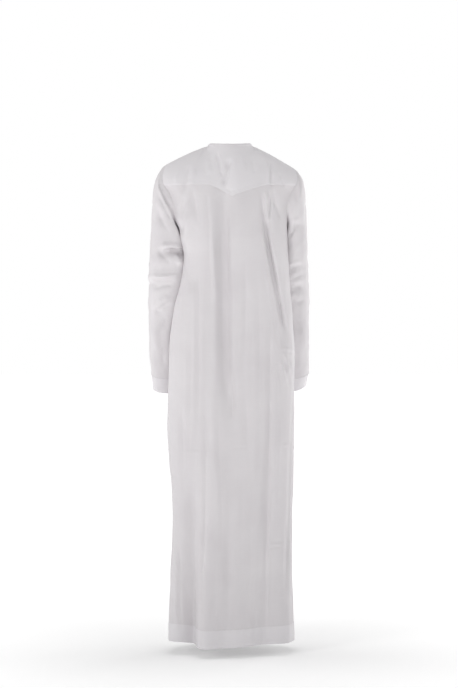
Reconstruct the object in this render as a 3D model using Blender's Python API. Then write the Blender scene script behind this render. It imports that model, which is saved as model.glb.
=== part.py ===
"""White ankle-length thobe, hollow, in the form it has when worn.

Every piece is a wall of cloth. Its middle surface is a grid of points, and seams are shared grid lines,
so that two pieces that are sewn together end in the same line, a seam gap apart.
Frame: metres, +Z up, the back towards +Y and the wearer's left towards +X. The origin is in the middle
of the neck opening, level with the shoulders.
"""

import math

import bmesh
import bpy
import numpy as np

# Cloth
CLOTH = 0.0016
DOUBLED_CLOTH = 0.0024
SEAM_GAP = 0.0003

# Lengths and heights
HEM_BOTTOM = -1.392
HEM_TALL = 0.050
UNDERARM = -0.235
SHOULDER_X = 0.180
SHOULDER_Y = -0.010
SHOULDER_LEFT_Z = -0.050
SHOULDER_RIGHT_Z = -0.061
SHOULDER_CURVE = 1.15

# Neck opening
NECK_HALF_WIDTH = 0.062
NECK_BACK = 0.060
NECK_FRONT = -0.075
NECK_SIDE_Z = 0.003
NECK_BACK_Z = -0.004
NECK_FRONT_Z = -0.062
NECK_BAND_TALL = 0.008
NECK_BAND_LEAN = 0.25

# Yoke seam: level at the sides, with a point near the middle of the back
YOKE_SIDE_Z = -0.113
YOKE_POINT_Z = -0.146
YOKE_POINT_X = -0.006
YOKE_POINT_REACH_LEFT = 0.064
YOKE_POINT_REACH_RIGHT = 0.098
YOKE_POINT_CURVE = 1.1

# Front opening
PLACKET_HALF_WIDTH = 0.014
PLACKET_BOTTOM = -0.36
BUTTON_RADIUS = 0.0055
BUTTON_THICK = 0.0024
BUTTON_ROWS = (5, 9, 12, 15)
BUTTON_STEPS = 14

# Grid lines
COLUMNS_SHOULDER = 8
COLUMNS_NECK_BACK = 22
COLUMNS_NECK_FRONT = 16
ROWS_YOKE = 5
ROWS_FRONT_TOP = 6
SIDE_LEVELS = (HEM_BOTTOM + HEM_TALL, -1.26, -1.17, -1.08, -0.99, -0.90, -0.81, -0.72, -0.64, -0.57, -0.51, -0.46,
               -0.41, -0.36, -0.315, -0.275, UNDERARM)

# Sections of the body: height, reach to the wearer's left and right, to the back and the front, and
# how square the section is (2 is an ellipse)
BODY_SECTIONS = np.array([
    (-1.392, 0.174, 0.184, 0.100, 0.140, 2.3),
    (-1.200, 0.169, 0.178, 0.108, 0.136, 2.3),
    (-1.026, 0.163, 0.177, 0.114, 0.132, 2.3),
    (-0.860, 0.171, 0.178, 0.118, 0.129, 2.3),
    (-0.690, 0.177, 0.183, 0.121, 0.126, 2.3),
    (-0.570, 0.175, 0.185, 0.120, 0.125, 2.4),
    (-0.460, 0.165, 0.180, 0.118, 0.123, 2.5),
    (-0.380, 0.145, 0.175, 0.118, 0.121, 2.6),
    (-0.310, 0.138, 0.173, 0.120, 0.118, 2.6),
    (-0.260, 0.148, 0.172, 0.119, 0.114, 2.6),
    (-0.235, 0.153, 0.172, 0.118, 0.111, 2.5),
    (-0.205, 0.166, 0.172, 0.116, 0.106, 2.4),
    (-0.180, 0.171, 0.174, 0.113, 0.101, 2.3),
    (-0.150, 0.180, 0.182, 0.107, 0.094, 2.3),
    (-0.113, 0.200, 0.200, 0.097, 0.083, 2.3),
])

# Edge of the armhole on the back and the front panel: angle from the side, height
BACK_ARMHOLE = ((0, -0.235), (7.5, -0.227), (15, -0.216), (22, -0.201), (26, -0.183), (28, -0.162),
                (28, -0.138), (26, -0.113))
FRONT_ARMHOLE = ((0, -0.235), (8, -0.226), (16, -0.213), (24, -0.197), (30, -0.178), (33, -0.158),
                 (33, -0.137))
FRONT_CHEST_Z = -0.150

# Folds of the body: side that it is on, its place there at the top and the bottom, the heights
# between which it runs, its half width at the top and the bottom, and how far it stands out
BODY_FOLDS = (
    ("back", 0.031, 0.024, -0.10, -0.74, 0.017, 0.020, -0.010, -0.007),
    ("back", -0.004, 0.000, -0.18, -0.70, 0.016, 0.018, 0.004, 0.003),
    ("back", -0.088, -0.150, -0.17, -0.57, 0.017, 0.015, -0.007, -0.006),
    ("back", 0.100, 0.100, -0.13, -0.42, 0.018, 0.022, -0.003, -0.004),
    ("back", 0.052, 0.066, -0.66, -1.50, 0.020, 0.028, 0.003, 0.028),
    ("back", 0.106, 0.120, -0.88, -1.50, 0.020, 0.026, -0.004, -0.048),
    ("back", -0.095, -0.100, -0.80, -1.50, 0.040, 0.055, 0.000, -0.030),
    ("front", 0.062, 0.082, -0.28, -1.50, 0.022, 0.030, 0.004, 0.020),
    ("front", -0.056, -0.070, -0.33, -1.50, 0.022, 0.028, 0.004, 0.017),
    ("front", 0.006, 0.010, -0.50, -1.50, 0.026, 0.034, -0.003, -0.016),
    ("front", -0.116, -0.124, -0.70, -1.50, 0.020, 0.026, -0.004, -0.015),
    ("left", 0.006, -0.062, -0.15, -0.78, 0.046, 0.050, -0.020, -0.026),
    ("right", 0.002, -0.062, -0.15, -0.78, 0.042, 0.050, -0.028, -0.032),
    ("left", -0.015, -0.030, -0.85, -1.50, 0.024, 0.028, -0.002, -0.010),
    ("right", 0.010, 0.020, -0.95, -1.50, 0.024, 0.028, -0.002, -0.009),
)
FOLD_FADE = 0.16

# The hem isn't quite level: angle from the left side round by the back, lift
HEM_LIFT = np.array([
    (0, 0.008),
    (32, 0.010),
    (52, 0.004),
    (68, 0.000),
    (90, 0.001),
    (120, 0.005),
    (160, 0.006),
    (200, 0.004),
    (270, 0.001),
    (360, 0.008),
])
HEM_LIFT_FADES_AT = -1.0

# Sections of the sleeves: outermost x and z, innermost x and z, middle y, half depth, lean of the
# arm forwards in degrees, and how far the back of the section swings outwards
SLEEVE_LEFT = (
    (0.211, -0.100, 0.1425, -0.241, -0.006, 0.070, 0, 0.0),
    (0.223, -0.255, 0.1305, -0.276, -0.010, 0.066, 0, 0.0),
    (0.227, -0.322, 0.125, -0.334, -0.014, 0.063, 3, 0.0),
    (0.2295, -0.390, 0.138, -0.395, -0.023, 0.059, 8, 0.0),
    (0.230, -0.455, 0.155, -0.465, -0.042, 0.057, 16, 0.0),
    (0.230, -0.525, 0.162, -0.535, -0.066, 0.053, 21, 0.004),
    (0.227, -0.585, 0.160, -0.595, -0.086, 0.048, 22, 0.008),
    (0.220, -0.630, 0.154, -0.640, -0.101, 0.044, 22, 0.012),
)
CUFF_LEFT_END = (0.2155, -0.672, 0.150, -0.682, -0.117, 0.042, 22, 0.014)
SLEEVE_RIGHT = (
    (0.207, -0.106, 0.160, -0.238, -0.008, 0.069, 0, 0.0),
    (0.217, -0.255, 0.160, -0.271, -0.014, 0.066, 0, 0.0),
    (0.219, -0.325, 0.158, -0.332, -0.019, 0.063, 4, 0.0),
    (0.223, -0.390, 0.159, -0.396, -0.034, 0.057, 10, 0.0),
    (0.224, -0.455, 0.162, -0.465, -0.052, 0.055, 17, 0.0),
    (0.2245, -0.525, 0.161, -0.535, -0.068, 0.053, 21, 0.0),
    (0.2255, -0.585, 0.159, -0.595, -0.087, 0.048, 22, 0.0),
    (0.2250, -0.630, 0.154, -0.640, -0.101, 0.044, 22, 0.0),
)
CUFF_RIGHT_END = (0.219, -0.664, 0.150, -0.680, -0.116, 0.042, 22, 0.0)
SLEEVE_STEPS = (4, 3, 3, 3, 3, 2, 2, 2)

# Folds of the sleeves: height of the middle, angle round the sleeve (0 is the back, 90 the outside),
# half height, half spread in degrees, and how far it stands out
SLEEVE_FOLDS_LEFT = (
    (-0.298, -40, 0.012, 45, -0.009),
    (-0.322, -30, 0.014, 50, 0.005),
    (-0.365, 40, 0.010, 60, 0.003),
    (-0.385, 20, 0.013, 60, -0.004),
    (-0.480, 10, 0.022, 50, -0.004),
    (-0.200, 20, 0.016, 30, -0.004),
)
SLEEVE_FOLDS_RIGHT = (
    (-0.345, 0, 0.012, 50, -0.004),
    (-0.372, -10, 0.011, 50, 0.004),
    (-0.398, 0, 0.012, 60, -0.005),
    (-0.225, 10, 0.016, 35, -0.004),
    (-0.500, 20, 0.022, 50, -0.003),
)

CLOTH_COLOUR = (0.80, 0.79, 0.80)
BAND_COLOUR = (0.86, 0.85, 0.87)
BUTTON_COLOUR = (0.88, 0.87, 0.85)


def unit(vector):
    """Vectors along the last axis, scaled to length one."""
    length = np.linalg.norm(vector, axis=-1, keepdims=True)
    return vector / np.maximum(length, 1e-12)


def smoothstep(low, high, value):
    """Zero below low, one above high, and an S curve between."""
    t = np.clip((value - low) / (high - low), 0.0, 1.0)
    return t * t * (3.0 - 2.0 * t)


def through(places, values, where):
    """A smooth curve through a table's values that doesn't overshoot them."""
    where = np.clip(where, places[0], places[-1])
    steps = np.diff(places)
    slopes = np.diff(values) / steps
    tangents = np.zeros(len(places))
    same_way = slopes[:-1] * slopes[1:] > 0
    total = slopes[:-1] + slopes[1:]
    tangents[1:-1] = np.where(same_way, 2 * slopes[:-1] * slopes[1:] / np.where(total == 0, 1, total), 0)
    tangents[0], tangents[-1] = slopes[0], slopes[-1]
    i = np.clip(np.searchsorted(places, where) - 1, 0, len(steps) - 1)
    t = (where - places[i]) / steps[i]
    rise = (3 - 2 * t) * t * t
    start = (1 - t) ** 2 * t * steps[i] * tangents[i]
    end = (t - 1) * t * t * steps[i] * tangents[i + 1]
    return values[i] * (1 - rise) + values[i + 1] * rise + start + end


def body_points(angles, heights):
    """Points of the body at angles from the left side round by the back, in degrees."""
    left, right, back, front, square = (
        through(BODY_SECTIONS[:, 0], BODY_SECTIONS[:, column], heights) for column in range(1, 6))
    turn = np.radians(angles)
    cosine, sine = np.cos(turn), np.sin(turn)
    half_width = np.where(cosine >= 0, left, right)
    half_depth = np.where(sine >= 0, back, front)
    x = half_width * np.sign(cosine) * np.abs(cosine) ** (2 / square)
    y = half_depth * np.sign(sine) * np.abs(sine) ** (2 / square)
    across = np.sign(x) * np.abs(x / half_width) ** (square - 1) / half_width
    along = np.sign(y) * np.abs(y / half_depth) ** (square - 1) / half_depth
    normal = unit(np.stack([across, along], axis=-1))
    moved = np.zeros_like(x)
    faces = {"left": (normal[..., 0], y), "right": (-normal[..., 0], y),
             "back": (normal[..., 1], x), "front": (-normal[..., 1], x)}
    for face, place_top, place_low, top, low, wide_top, wide_low, out_top, out_low in BODY_FOLDS:
        facing, place = faces[face]
        down = (top - heights) / (top - low)
        shown = smoothstep(0, FOLD_FADE, down) * smoothstep(0, FOLD_FADE, 1 - down)
        middle = place_top + (place_low - place_top) * down
        wide = wide_top + (wide_low - wide_top) * down
        out = out_top + (out_low - out_top) * down
        moved += smoothstep(0.1, 0.5, facing) * shown * out * np.exp(-((place - middle) / wide) ** 2)
    return np.stack([x + normal[..., 0] * moved, y + normal[..., 1] * moved, heights], axis=-1)


def spaced(curve, places):
    """Points of a dense curve at the given distances along it."""
    lengths = np.concatenate([[0], np.cumsum(np.linalg.norm(np.diff(curve, axis=0), axis=1))])
    return np.stack([np.interp(places, lengths, curve[:, axis]) for axis in range(3)], axis=1)


def curve_length(curve):
    """Length of a dense curve."""
    return np.linalg.norm(np.diff(curve, axis=0), axis=1).sum()


def even_columns(curve, count):
    """Points that divide a curve into equal parts."""
    return spaced(curve, np.linspace(0, curve_length(curve), count + 1))


def back_columns(curve, count):
    """Equal parts on each side of the line that the yoke's point lies on."""
    middle = distance_to(curve, YOKE_POINT_X)
    before = np.linspace(0, middle, count // 2 + 1)
    after = np.linspace(middle, curve_length(curve), count // 2 + 1)
    return spaced(curve, np.concatenate([before, after[1:]]))


def placket_columns(curve, count):
    """Equal parts on each side of a strip of the placket's width in the middle of the curve."""
    total = curve_length(curve)
    middle = distance_to(curve, 0.0)
    side = count // 2 - 1
    before = np.linspace(0, middle - PLACKET_HALF_WIDTH, side + 1)
    after = np.linspace(middle + PLACKET_HALF_WIDTH, total, side + 1)
    return spaced(curve, np.concatenate([before, [middle], after]))


def distance_to(curve, x):
    """Distance along a curve, which runs from side to side, to where it reaches a place across."""
    lengths = np.concatenate([[0], np.cumsum(np.linalg.norm(np.diff(curve, axis=0), axis=1))])
    order = np.argsort(curve[:, 0])
    return float(np.interp(x, curve[order, 0], lengths[order]))


def yoke_seam_height(x):
    """Height of the yoke seam at a place across the back."""
    reach = np.where(x > YOKE_POINT_X, YOKE_POINT_REACH_LEFT, YOKE_POINT_REACH_RIGHT)
    nearness = np.clip(1 - np.abs(x - YOKE_POINT_X) / reach, 0, 1)
    return YOKE_SIDE_Z + (YOKE_POINT_Z - YOKE_SIDE_Z) * nearness ** YOKE_POINT_CURVE


def rest_of_row(edge_angle, edge_height, middle_heights, start, end):
    """A dense row between two armhole edges, at middle heights that bend to the edges' height."""
    angles = np.linspace(start + edge_angle, end - edge_angle, 241)
    sideways = np.abs(np.linspace(-1, 1, 241))
    heights = middle_heights + (edge_height - middle_heights[0]) * sideways ** 4
    return body_points(angles, heights)


def straight_row(height, start, end):
    """A dense row of the body, level but for the hem's lift."""
    angles = np.linspace(start, end, 241)
    lift = through(HEM_LIFT[:, 0], HEM_LIFT[:, 1], angles)
    fade = smoothstep(HEM_LIFT_FADES_AT, HEM_BOTTOM, np.full(241, height))
    return body_points(angles, height + lift * fade)


def shoulder_curve(side, end_height):
    """Dense shoulder seam, from the shoulder point to the neck."""
    f = np.linspace(1, 0, 61)
    x = NECK_HALF_WIDTH + (SHOULDER_X - NECK_HALF_WIDTH) * f
    z = NECK_SIDE_Z + (end_height - NECK_SIDE_Z) * f ** SHOULDER_CURVE
    return np.stack([side * x, np.full(61, SHOULDER_Y), z], axis=1)


def neck_curve(far_y, far_z, start, end):
    """Dense half of the neck opening, between two turns in degrees."""
    turn = np.radians(np.linspace(start, end, 121))
    reach = np.abs(np.sin(turn))
    y = SHOULDER_Y + (far_y - SHOULDER_Y) * reach
    z = NECK_SIDE_Z + (far_z - NECK_SIDE_Z) * reach ** 2
    return np.stack([NECK_HALF_WIDTH * np.cos(turn), y, z], axis=1)


def top_row(shoulder_first, neck, shoulder_last):
    """Top line of a panel: a shoulder seam, half of the neck and the other shoulder seam."""
    return np.concatenate([shoulder_first[:-1], neck, shoulder_last[1:]])


def hermite_rows(before, first, last, arrive, count):
    """Rows that leave the first row as it was reached and arrive at the last in a given direction."""
    chord = np.linalg.norm(last - first, axis=1, keepdims=True)
    leave = unit(first - before) * chord
    arrive = unit(arrive) * chord
    rows = []
    for t in np.linspace(0, 1, count + 1)[1:]:
        rise = (3 - 2 * t) * t * t
        rows.append(first * (1 - rise) + last * rise + leave * (1 - t) ** 2 * t + arrive * (t - 1) * t * t)
    return rows


def top_arrivals(columns_neck, over_shoulder, up_neck):
    """Direction in which each column reaches the top row."""
    turn = np.radians(np.linspace(0, 180, columns_neck + 1))
    to_neck = np.concatenate([np.zeros(COLUMNS_SHOULDER), np.sin(turn) ** 0.7, np.zeros(COLUMNS_SHOULDER)])
    return np.outer(1 - to_neck, over_shoulder) + np.outer(to_neck, up_neck)


def body_grids():
    """Grids of the back panel, the yoke and the front panel, from the hem upwards."""
    columns_back = 2 * COLUMNS_SHOULDER + COLUMNS_NECK_BACK
    columns_front = 2 * COLUMNS_SHOULDER + COLUMNS_NECK_FRONT
    back = [back_columns(straight_row(z, 0, 180), columns_back) for z in SIDE_LEVELS]
    front = [placket_columns(straight_row(z, 180, 360), columns_front) for z in SIDE_LEVELS]

    steps = len(BACK_ARMHOLE) - 1
    for k, (angle, height) in list(enumerate(BACK_ARMHOLE))[1:]:
        across = straight_row(height, angle, 180 - angle)[:, 0]
        rising = k / steps
        heights = UNDERARM * (1 - rising) + yoke_seam_height(across) * rising
        back.append(back_columns(rest_of_row(angle, height, heights, 0, 180), columns_back))
    steps = len(FRONT_ARMHOLE) - 1
    for k, (angle, height) in list(enumerate(FRONT_ARMHOLE))[1:]:
        heights = np.full(241, UNDERARM + (FRONT_CHEST_Z - UNDERARM) * k / steps)
        front.append(placket_columns(rest_of_row(angle, height, heights, 180, 360), columns_front))

    left = even_columns(shoulder_curve(1, SHOULDER_LEFT_Z), COLUMNS_SHOULDER)
    right = even_columns(shoulder_curve(-1, SHOULDER_RIGHT_Z), COLUMNS_SHOULDER)
    neck_back = even_columns(neck_curve(NECK_BACK, NECK_BACK_Z, 0, 180), COLUMNS_NECK_BACK)
    neck_front = placket_columns(neck_curve(NECK_FRONT, NECK_FRONT_Z, 180, 360), COLUMNS_NECK_FRONT)
    yoke_top = top_row(left, neck_back, right[::-1])
    front_top = top_row(right, neck_front, left[::-1])

    yoke_arrive = top_arrivals(COLUMNS_NECK_BACK, (0, -1, 0.15), (0, -0.5, 0.87))
    front_arrive = top_arrivals(COLUMNS_NECK_FRONT, (0, 1, 0.2), (0, 0.25, 0.97))
    yoke = [back[-1]] + hermite_rows(back[-2], back[-1], yoke_top, yoke_arrive, ROWS_YOKE)
    front += hermite_rows(front[-2], front[-1], front_top, front_arrive, ROWS_FRONT_TOP)
    return np.array(back), np.array(yoke), np.array(front)


def sleeve_ring(side, section, turns):
    """Points round one section of a sleeve, at turns from the back towards the outside."""
    out_x, out_z, in_x, in_z, y, depth, lean, swing = section
    middle = np.array([(out_x + in_x) / 2, y, (out_z + in_z) / 2])
    outwards = np.array([(out_x - in_x) / 2, 0, (out_z - in_z) / 2])
    lean = math.radians(lean)
    backwards = np.array([swing, depth * math.cos(lean), -depth * math.sin(lean)])
    ring = middle + np.outer(np.sin(turns), outwards) + np.outer(np.cos(turns), backwards)
    return ring * np.array([side, 1, 1])


def add_sleeve_folds(ring, turns, folds):
    """Move a sleeve's ring in and out where its folds are."""
    middle = ring.mean(axis=0)
    away = unit(ring - middle)
    moved = np.zeros(len(ring))
    for height, angle, half_height, spread, out in folds:
        apart = np.degrees(np.angle(np.exp(1j * (turns - math.radians(angle)))))
        moved += out * np.exp(-((ring[:, 2] - height) / half_height) ** 2 - (apart / spread) ** 2)
    return ring + away * moved[:, None]


def sleeve_grid(side, armhole, sections, end_section, folds):
    """Rings of a sleeve from the armhole to the cuff seam, and the last ring of the cuff."""
    middle_z = (armhole[:, 2].max() + armhole[:, 2].min()) / 2
    half_tall = (armhole[:, 2].max() - armhole[:, 2].min()) / 2
    half_deep = (armhole[:, 1].max() - armhole[:, 1].min()) / 2
    turns = np.arctan2((armhole[:, 2] - middle_z) / half_tall, armhole[:, 1] / half_deep)
    stations = [armhole] + [sleeve_ring(side, section, turns) for section in sections]
    cuff_end = sleeve_ring(side, end_section, turns)
    stations.append(cuff_end)
    steep = 0.05 + 0.225 * (1 + np.sin(turns))
    leave = unit(np.stack([np.full(len(turns), float(side)), np.zeros(len(turns)), -steep], axis=1))
    chords = [np.linalg.norm(b - a, axis=1, keepdims=True) for a, b in zip(stations, stations[1:])]
    speeds = [leave]
    for before, here, after, one, two in zip(stations, stations[1:], stations[2:], chords, chords[1:]):
        speeds.append((after - before) / (one + two))
    rings = [armhole]
    for i, steps in enumerate(SLEEVE_STEPS):
        first, last, chord = stations[i], stations[i + 1], chords[i]
        for t in np.linspace(0, 1, steps + 1)[1:]:
            rise = (3 - 2 * t) * t * t
            ring = first * (1 - rise) + last * rise
            ring = ring + chord * (speeds[i] * (1 - t) ** 2 * t + speeds[i + 1] * (t - 1) * t * t)
            rings.append(add_sleeve_folds(ring, turns, folds))
    cuff = [rings[-1], (rings[-1] + cuff_end) / 2, cuff_end]
    return np.array(rings), np.array(cuff)


def armhole_ring(first_edge, yoke_edge, last_edge):
    """Armhole line from the underarm, up the back, over the shoulder and down the front."""
    return np.concatenate([first_edge, yoke_edge[1:], last_edge[::-1][1:-1]])


def grid_normals(grid, closed):
    """Unit normals of a grid of points, towards the outside of a grid that runs leftwards and up."""
    if closed:
        along = np.roll(grid, -1, axis=1) - np.roll(grid, 1, axis=1)
    else:
        along = np.gradient(grid, axis=1)
    return unit(np.cross(along, np.gradient(grid, axis=0)))


def key(point):
    """A point's place to a hundredth of a millimetre, the same for every piece that shares it."""
    return tuple(int(round(value * 1e5)) for value in point)


def seam_normals(pieces):
    """Normals of every piece, where a seam's points have the mean of the pieces that meet there."""
    sums = {}
    for piece in pieces.values():
        for point, normal in zip(piece["grid"].reshape(-1, 3), piece["normals"].reshape(-1, 3)):
            total, count = sums.get(key(point), (np.zeros(3), 0))
            sums[key(point)] = (total + normal, count + 1)
    for piece in pieces.values():
        shared = [sums[key(point)] for point in piece["grid"].reshape(-1, 3)]
        mitred = [unit(total) / max(np.linalg.norm(total) / count, 0.72) for total, count in shared]
        piece["normals"] = np.array(mitred).reshape(piece["grid"].shape)


def edge_pull(line, normals, inside, closed):
    """Half a seam gap from each point of an edge into its piece, square to the edge on both sides."""
    steps = unit(np.roll(line, -1, axis=0) - line)
    towards = np.cross(normals, steps)
    towards = unit(towards * np.sign(np.sum(towards * (inside - line), axis=1, keepdims=True)))
    before = np.roll(towards, 1, axis=0)
    if not closed:
        towards[-1] = before[-1]
        before[0] = towards[0]
    together = 1 + np.sum(before * towards, axis=1, keepdims=True)
    return (before + towards) / np.maximum(together, 0.5) * SEAM_GAP / 2


def pulled_back(grid, normals, seams, closed=False):
    """The grid with the edges that are seams moved back by half the seam gap."""
    moved = grid.copy()
    if "bottom" in seams:
        moved[0] += edge_pull(grid[0], normals[0], grid[1], closed)
    if "top" in seams:
        moved[-1] += edge_pull(grid[-1], normals[-1], grid[-2], closed)
    if "sides" in seams:
        moved[:, 0] += edge_pull(grid[:, 0], normals[:, 0], grid[:, 1], False)
        moved[:, -1] += edge_pull(grid[:, -1], normals[:, -1], grid[:, -2], False)
    return moved


def cloth_colour(name, colour, roughness):
    """Matt cloth, or the harder finish of a button."""
    material = bpy.data.materials.new(name)
    material.use_nodes = True
    shader = material.node_tree.nodes["Principled BSDF"]
    shader.inputs["Base Color"].default_value = (*colour, 1)
    shader.inputs["Roughness"].default_value = roughness
    shader.inputs["Metallic"].default_value = 0
    return material


def add_object(name, mesh_maker, colour, roughness=0.85):
    """A named object from a bmesh, with a material of its own and soft shading."""
    mesh = bpy.data.meshes.new(name)
    bmesh.ops.recalc_face_normals(mesh_maker, faces=mesh_maker.faces)
    if mesh_maker.calc_volume(signed=True) < 0:
        bmesh.ops.reverse_faces(mesh_maker, faces=mesh_maker.faces)
    mesh_maker.to_mesh(mesh)
    mesh_maker.free()
    mesh.materials.append(cloth_colour(name + "_cloth", colour, roughness))
    mesh.shade_smooth()
    mesh.set_sharp_from_angle(angle=math.radians(50))
    thing = bpy.data.objects.new(name, mesh)
    bpy.context.scene.collection.objects.link(thing)
    return thing


def close_edge(maker, outer_a, inner_a, outer_b, inner_b, a_first):
    """Two triangles of a cut edge, split the same way on the two pieces that meet there."""
    if a_first:
        maker.faces.new((outer_a, inner_b, outer_b))
        maker.faces.new((outer_a, inner_a, inner_b))
    else:
        maker.faces.new((outer_b, inner_a, outer_a))
        maker.faces.new((outer_b, inner_b, inner_a))


def add_cloth(name, grid, normals, wall, closed, colour, seam_grid, lift=0.0):
    """A closed wall of cloth round a grid of points, lifted off it where it lies on another piece."""
    rows, columns = grid.shape[:2]
    rank = seam_grid @ np.array([0.37, 0.61, 1.0])
    maker = bmesh.new()
    layers = []
    for reach in (lift + wall / 2, lift - wall / 2):
        points = grid + normals * reach
        layers.append([[maker.verts.new(points[r, c]) for c in range(columns)] for r in range(rows)])
    outer, inner = layers
    around = range(columns if closed else columns - 1)
    for r in range(rows - 1):
        for c in around:
            n = (c + 1) % columns
            maker.faces.new((outer[r][c], outer[r][n], outer[r + 1][n], outer[r + 1][c]))
            maker.faces.new((inner[r][c], inner[r + 1][c], inner[r + 1][n], inner[r][n]))
    edges = [((r, c), (r, (c + 1) % columns)) for r in (0, rows - 1) for c in around]
    if not closed:
        edges += [((r, c), (r + 1, c)) for c in (0, columns - 1) for r in range(rows - 1)]
    for (r, c), (s, d) in edges:
        close_edge(maker, outer[r][c], inner[r][c], outer[s][d], inner[s][d], rank[r, c] < rank[s, d])
    return add_object(name, maker, colour)


def add_button(name, place, direction):
    """A turned button: a flat back, a rounded rim and a shallow dish in its face."""
    profile = ((0.0, 0.0), (0.86, 0.0), (1.0, 0.35), (0.92, 0.9), (0.78, 1.0), (0.62, 0.72), (0.0, 0.66))
    maker = bmesh.new()
    chain = [maker.verts.new((radius * BUTTON_RADIUS, 0, rise * BUTTON_THICK)) for radius, rise in profile]
    edges = [maker.edges.new(pair) for pair in zip(chain, chain[1:])]
    bmesh.ops.spin(maker, geom=chain + edges, cent=(0, 0, 0), axis=(0, 0, 1), angle=math.tau,
                   steps=BUTTON_STEPS)
    bmesh.ops.remove_doubles(maker, verts=maker.verts, dist=1e-5)
    side = unit(np.cross((1.0, 0.0, 0.0), direction))
    across = np.cross(side, direction)
    for vert in maker.verts:
        x, y, z = vert.co
        vert.co = place + across * x + side * y + direction * z
    return add_object(name, maker, BUTTON_COLOUR, roughness=0.35)


def neck_ring(yoke, front):
    """Neck line, from the left shoulder seam round by the back."""
    back_part = yoke[-1, COLUMNS_SHOULDER:-COLUMNS_SHOULDER]
    front_part = front[-1, COLUMNS_SHOULDER:-COLUMNS_SHOULDER]
    return np.concatenate([back_part, front_part[1:-1]])


def hem_rows(back, front):
    """The line where the panels meet the hem band, and the same line at the bottom of the robe."""
    columns_back = back.shape[1] - 1
    columns_front = front.shape[1] - 1
    low_back = back_columns(straight_row(HEM_BOTTOM, 0, 180), columns_back)
    low_front = placket_columns(straight_row(HEM_BOTTOM, 180, 360), columns_front)
    top = np.concatenate([back[0], front[0, 1:-1]])
    low = np.concatenate([low_back, low_front[1:-1]])
    return np.array([low, top])


def cut_pieces():
    """Every piece of cloth with its grid, its normals and how it is sewn."""
    back, yoke, front = body_grids()
    rows_to_underarm = len(SIDE_LEVELS) - 1
    left_hole = armhole_ring(back[rows_to_underarm:, 0], yoke[:, 0], front[rows_to_underarm:, -1])
    right_hole = armhole_ring(back[rows_to_underarm:, -1], yoke[:, -1], front[rows_to_underarm:, 0])
    left, left_cuff = sleeve_grid(1, left_hole, SLEEVE_LEFT, CUFF_LEFT_END, SLEEVE_FOLDS_LEFT)
    right, right_cuff = sleeve_grid(-1, right_hole, SLEEVE_RIGHT, CUFF_RIGHT_END, SLEEVE_FOLDS_RIGHT)
    neck_low = neck_ring(yoke, front)
    inwards = np.array([0.0, (NECK_BACK + NECK_FRONT) / 2, 0.0]) - neck_low
    inwards[:, 2] = 0
    rise = unit(unit(inwards) * NECK_BAND_LEAN + np.array([0.0, 0.0, 1.0])) * NECK_BAND_TALL
    neck = np.array([neck_low, neck_low + rise])

    pieces = {}

    def piece(name, grid, wall, closed, seams, flip=1):
        normals = grid_normals(grid, closed) * flip
        pieces[name] = {"grid": grid, "normals": normals, "wall": wall, "closed": closed,
                        "cut": pulled_back(grid, normals, seams, closed)}

    piece("back_panel", back, CLOTH, False, ("bottom", "top", "sides"))
    piece("back_yoke", yoke, CLOTH, False, ("bottom", "top", "sides"))
    piece("front_panel", front, CLOTH, False, ("bottom", "top", "sides"))
    piece("sleeve_left", left, CLOTH, True, ("bottom", "top"))
    piece("sleeve_right", right, CLOTH, True, ("bottom", "top"), flip=-1)
    piece("cuff_left", left_cuff, DOUBLED_CLOTH, True, ("bottom",))
    piece("cuff_right", right_cuff, DOUBLED_CLOTH, True, ("bottom",), flip=-1)
    piece("hem_band", hem_rows(back, front), DOUBLED_CLOTH, True, ("top",))
    piece("neck_band", neck, DOUBLED_CLOTH, True, ("bottom",))
    seam_normals(pieces)
    return pieces


def add_placket(front, normals):
    """The placket strip on the middle of the front, and its buttons."""
    first = SIDE_LEVELS.index(PLACKET_BOTTOM)
    middle = front.shape[1] // 2
    strip_normals = normals[first:, middle - 1:middle + 2]
    strip = pulled_back(front[first:, middle - 1:middle + 2], strip_normals, ("top",))
    lift = CLOTH / 2 + SEAM_GAP + DOUBLED_CLOTH / 2
    add_cloth("placket", strip, strip_normals, DOUBLED_CLOTH, False, BAND_COLOUR, strip, lift)
    seat = lift + DOUBLED_CLOTH / 2 + SEAM_GAP
    for number, row in enumerate(BUTTON_ROWS, start=1):
        place = (strip[row, 1] + strip[row - 1, 1]) / 2
        direction = unit(strip_normals[row, 1] + strip_normals[row - 1, 1])
        add_button(f"button_{number}", place + direction * seat, direction)


for old in list(bpy.data.objects):
    bpy.data.objects.remove(old)

pieces = cut_pieces()
for name, piece in pieces.items():
    doubled = piece["wall"] == DOUBLED_CLOTH
    add_cloth(name, piece["cut"], piece["normals"], piece["wall"], piece["closed"],
              BAND_COLOUR if doubled else CLOTH_COLOUR, piece["grid"])
add_placket(pieces["front_panel"]["grid"], pieces["front_panel"]["normals"])
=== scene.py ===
"""Looks of a white ankle-length thobe, hollow, in the form it has when worn.

Each piece of cloth is a thin sheet that follows its solid's form, with its creases pushed in or out of it.
Metres; +Z up, the robe's back towards +Y and its left, as it is worn, towards +X.
"""

import math

import bmesh
import bpy
import numpy as np
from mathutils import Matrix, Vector, noise


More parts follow.
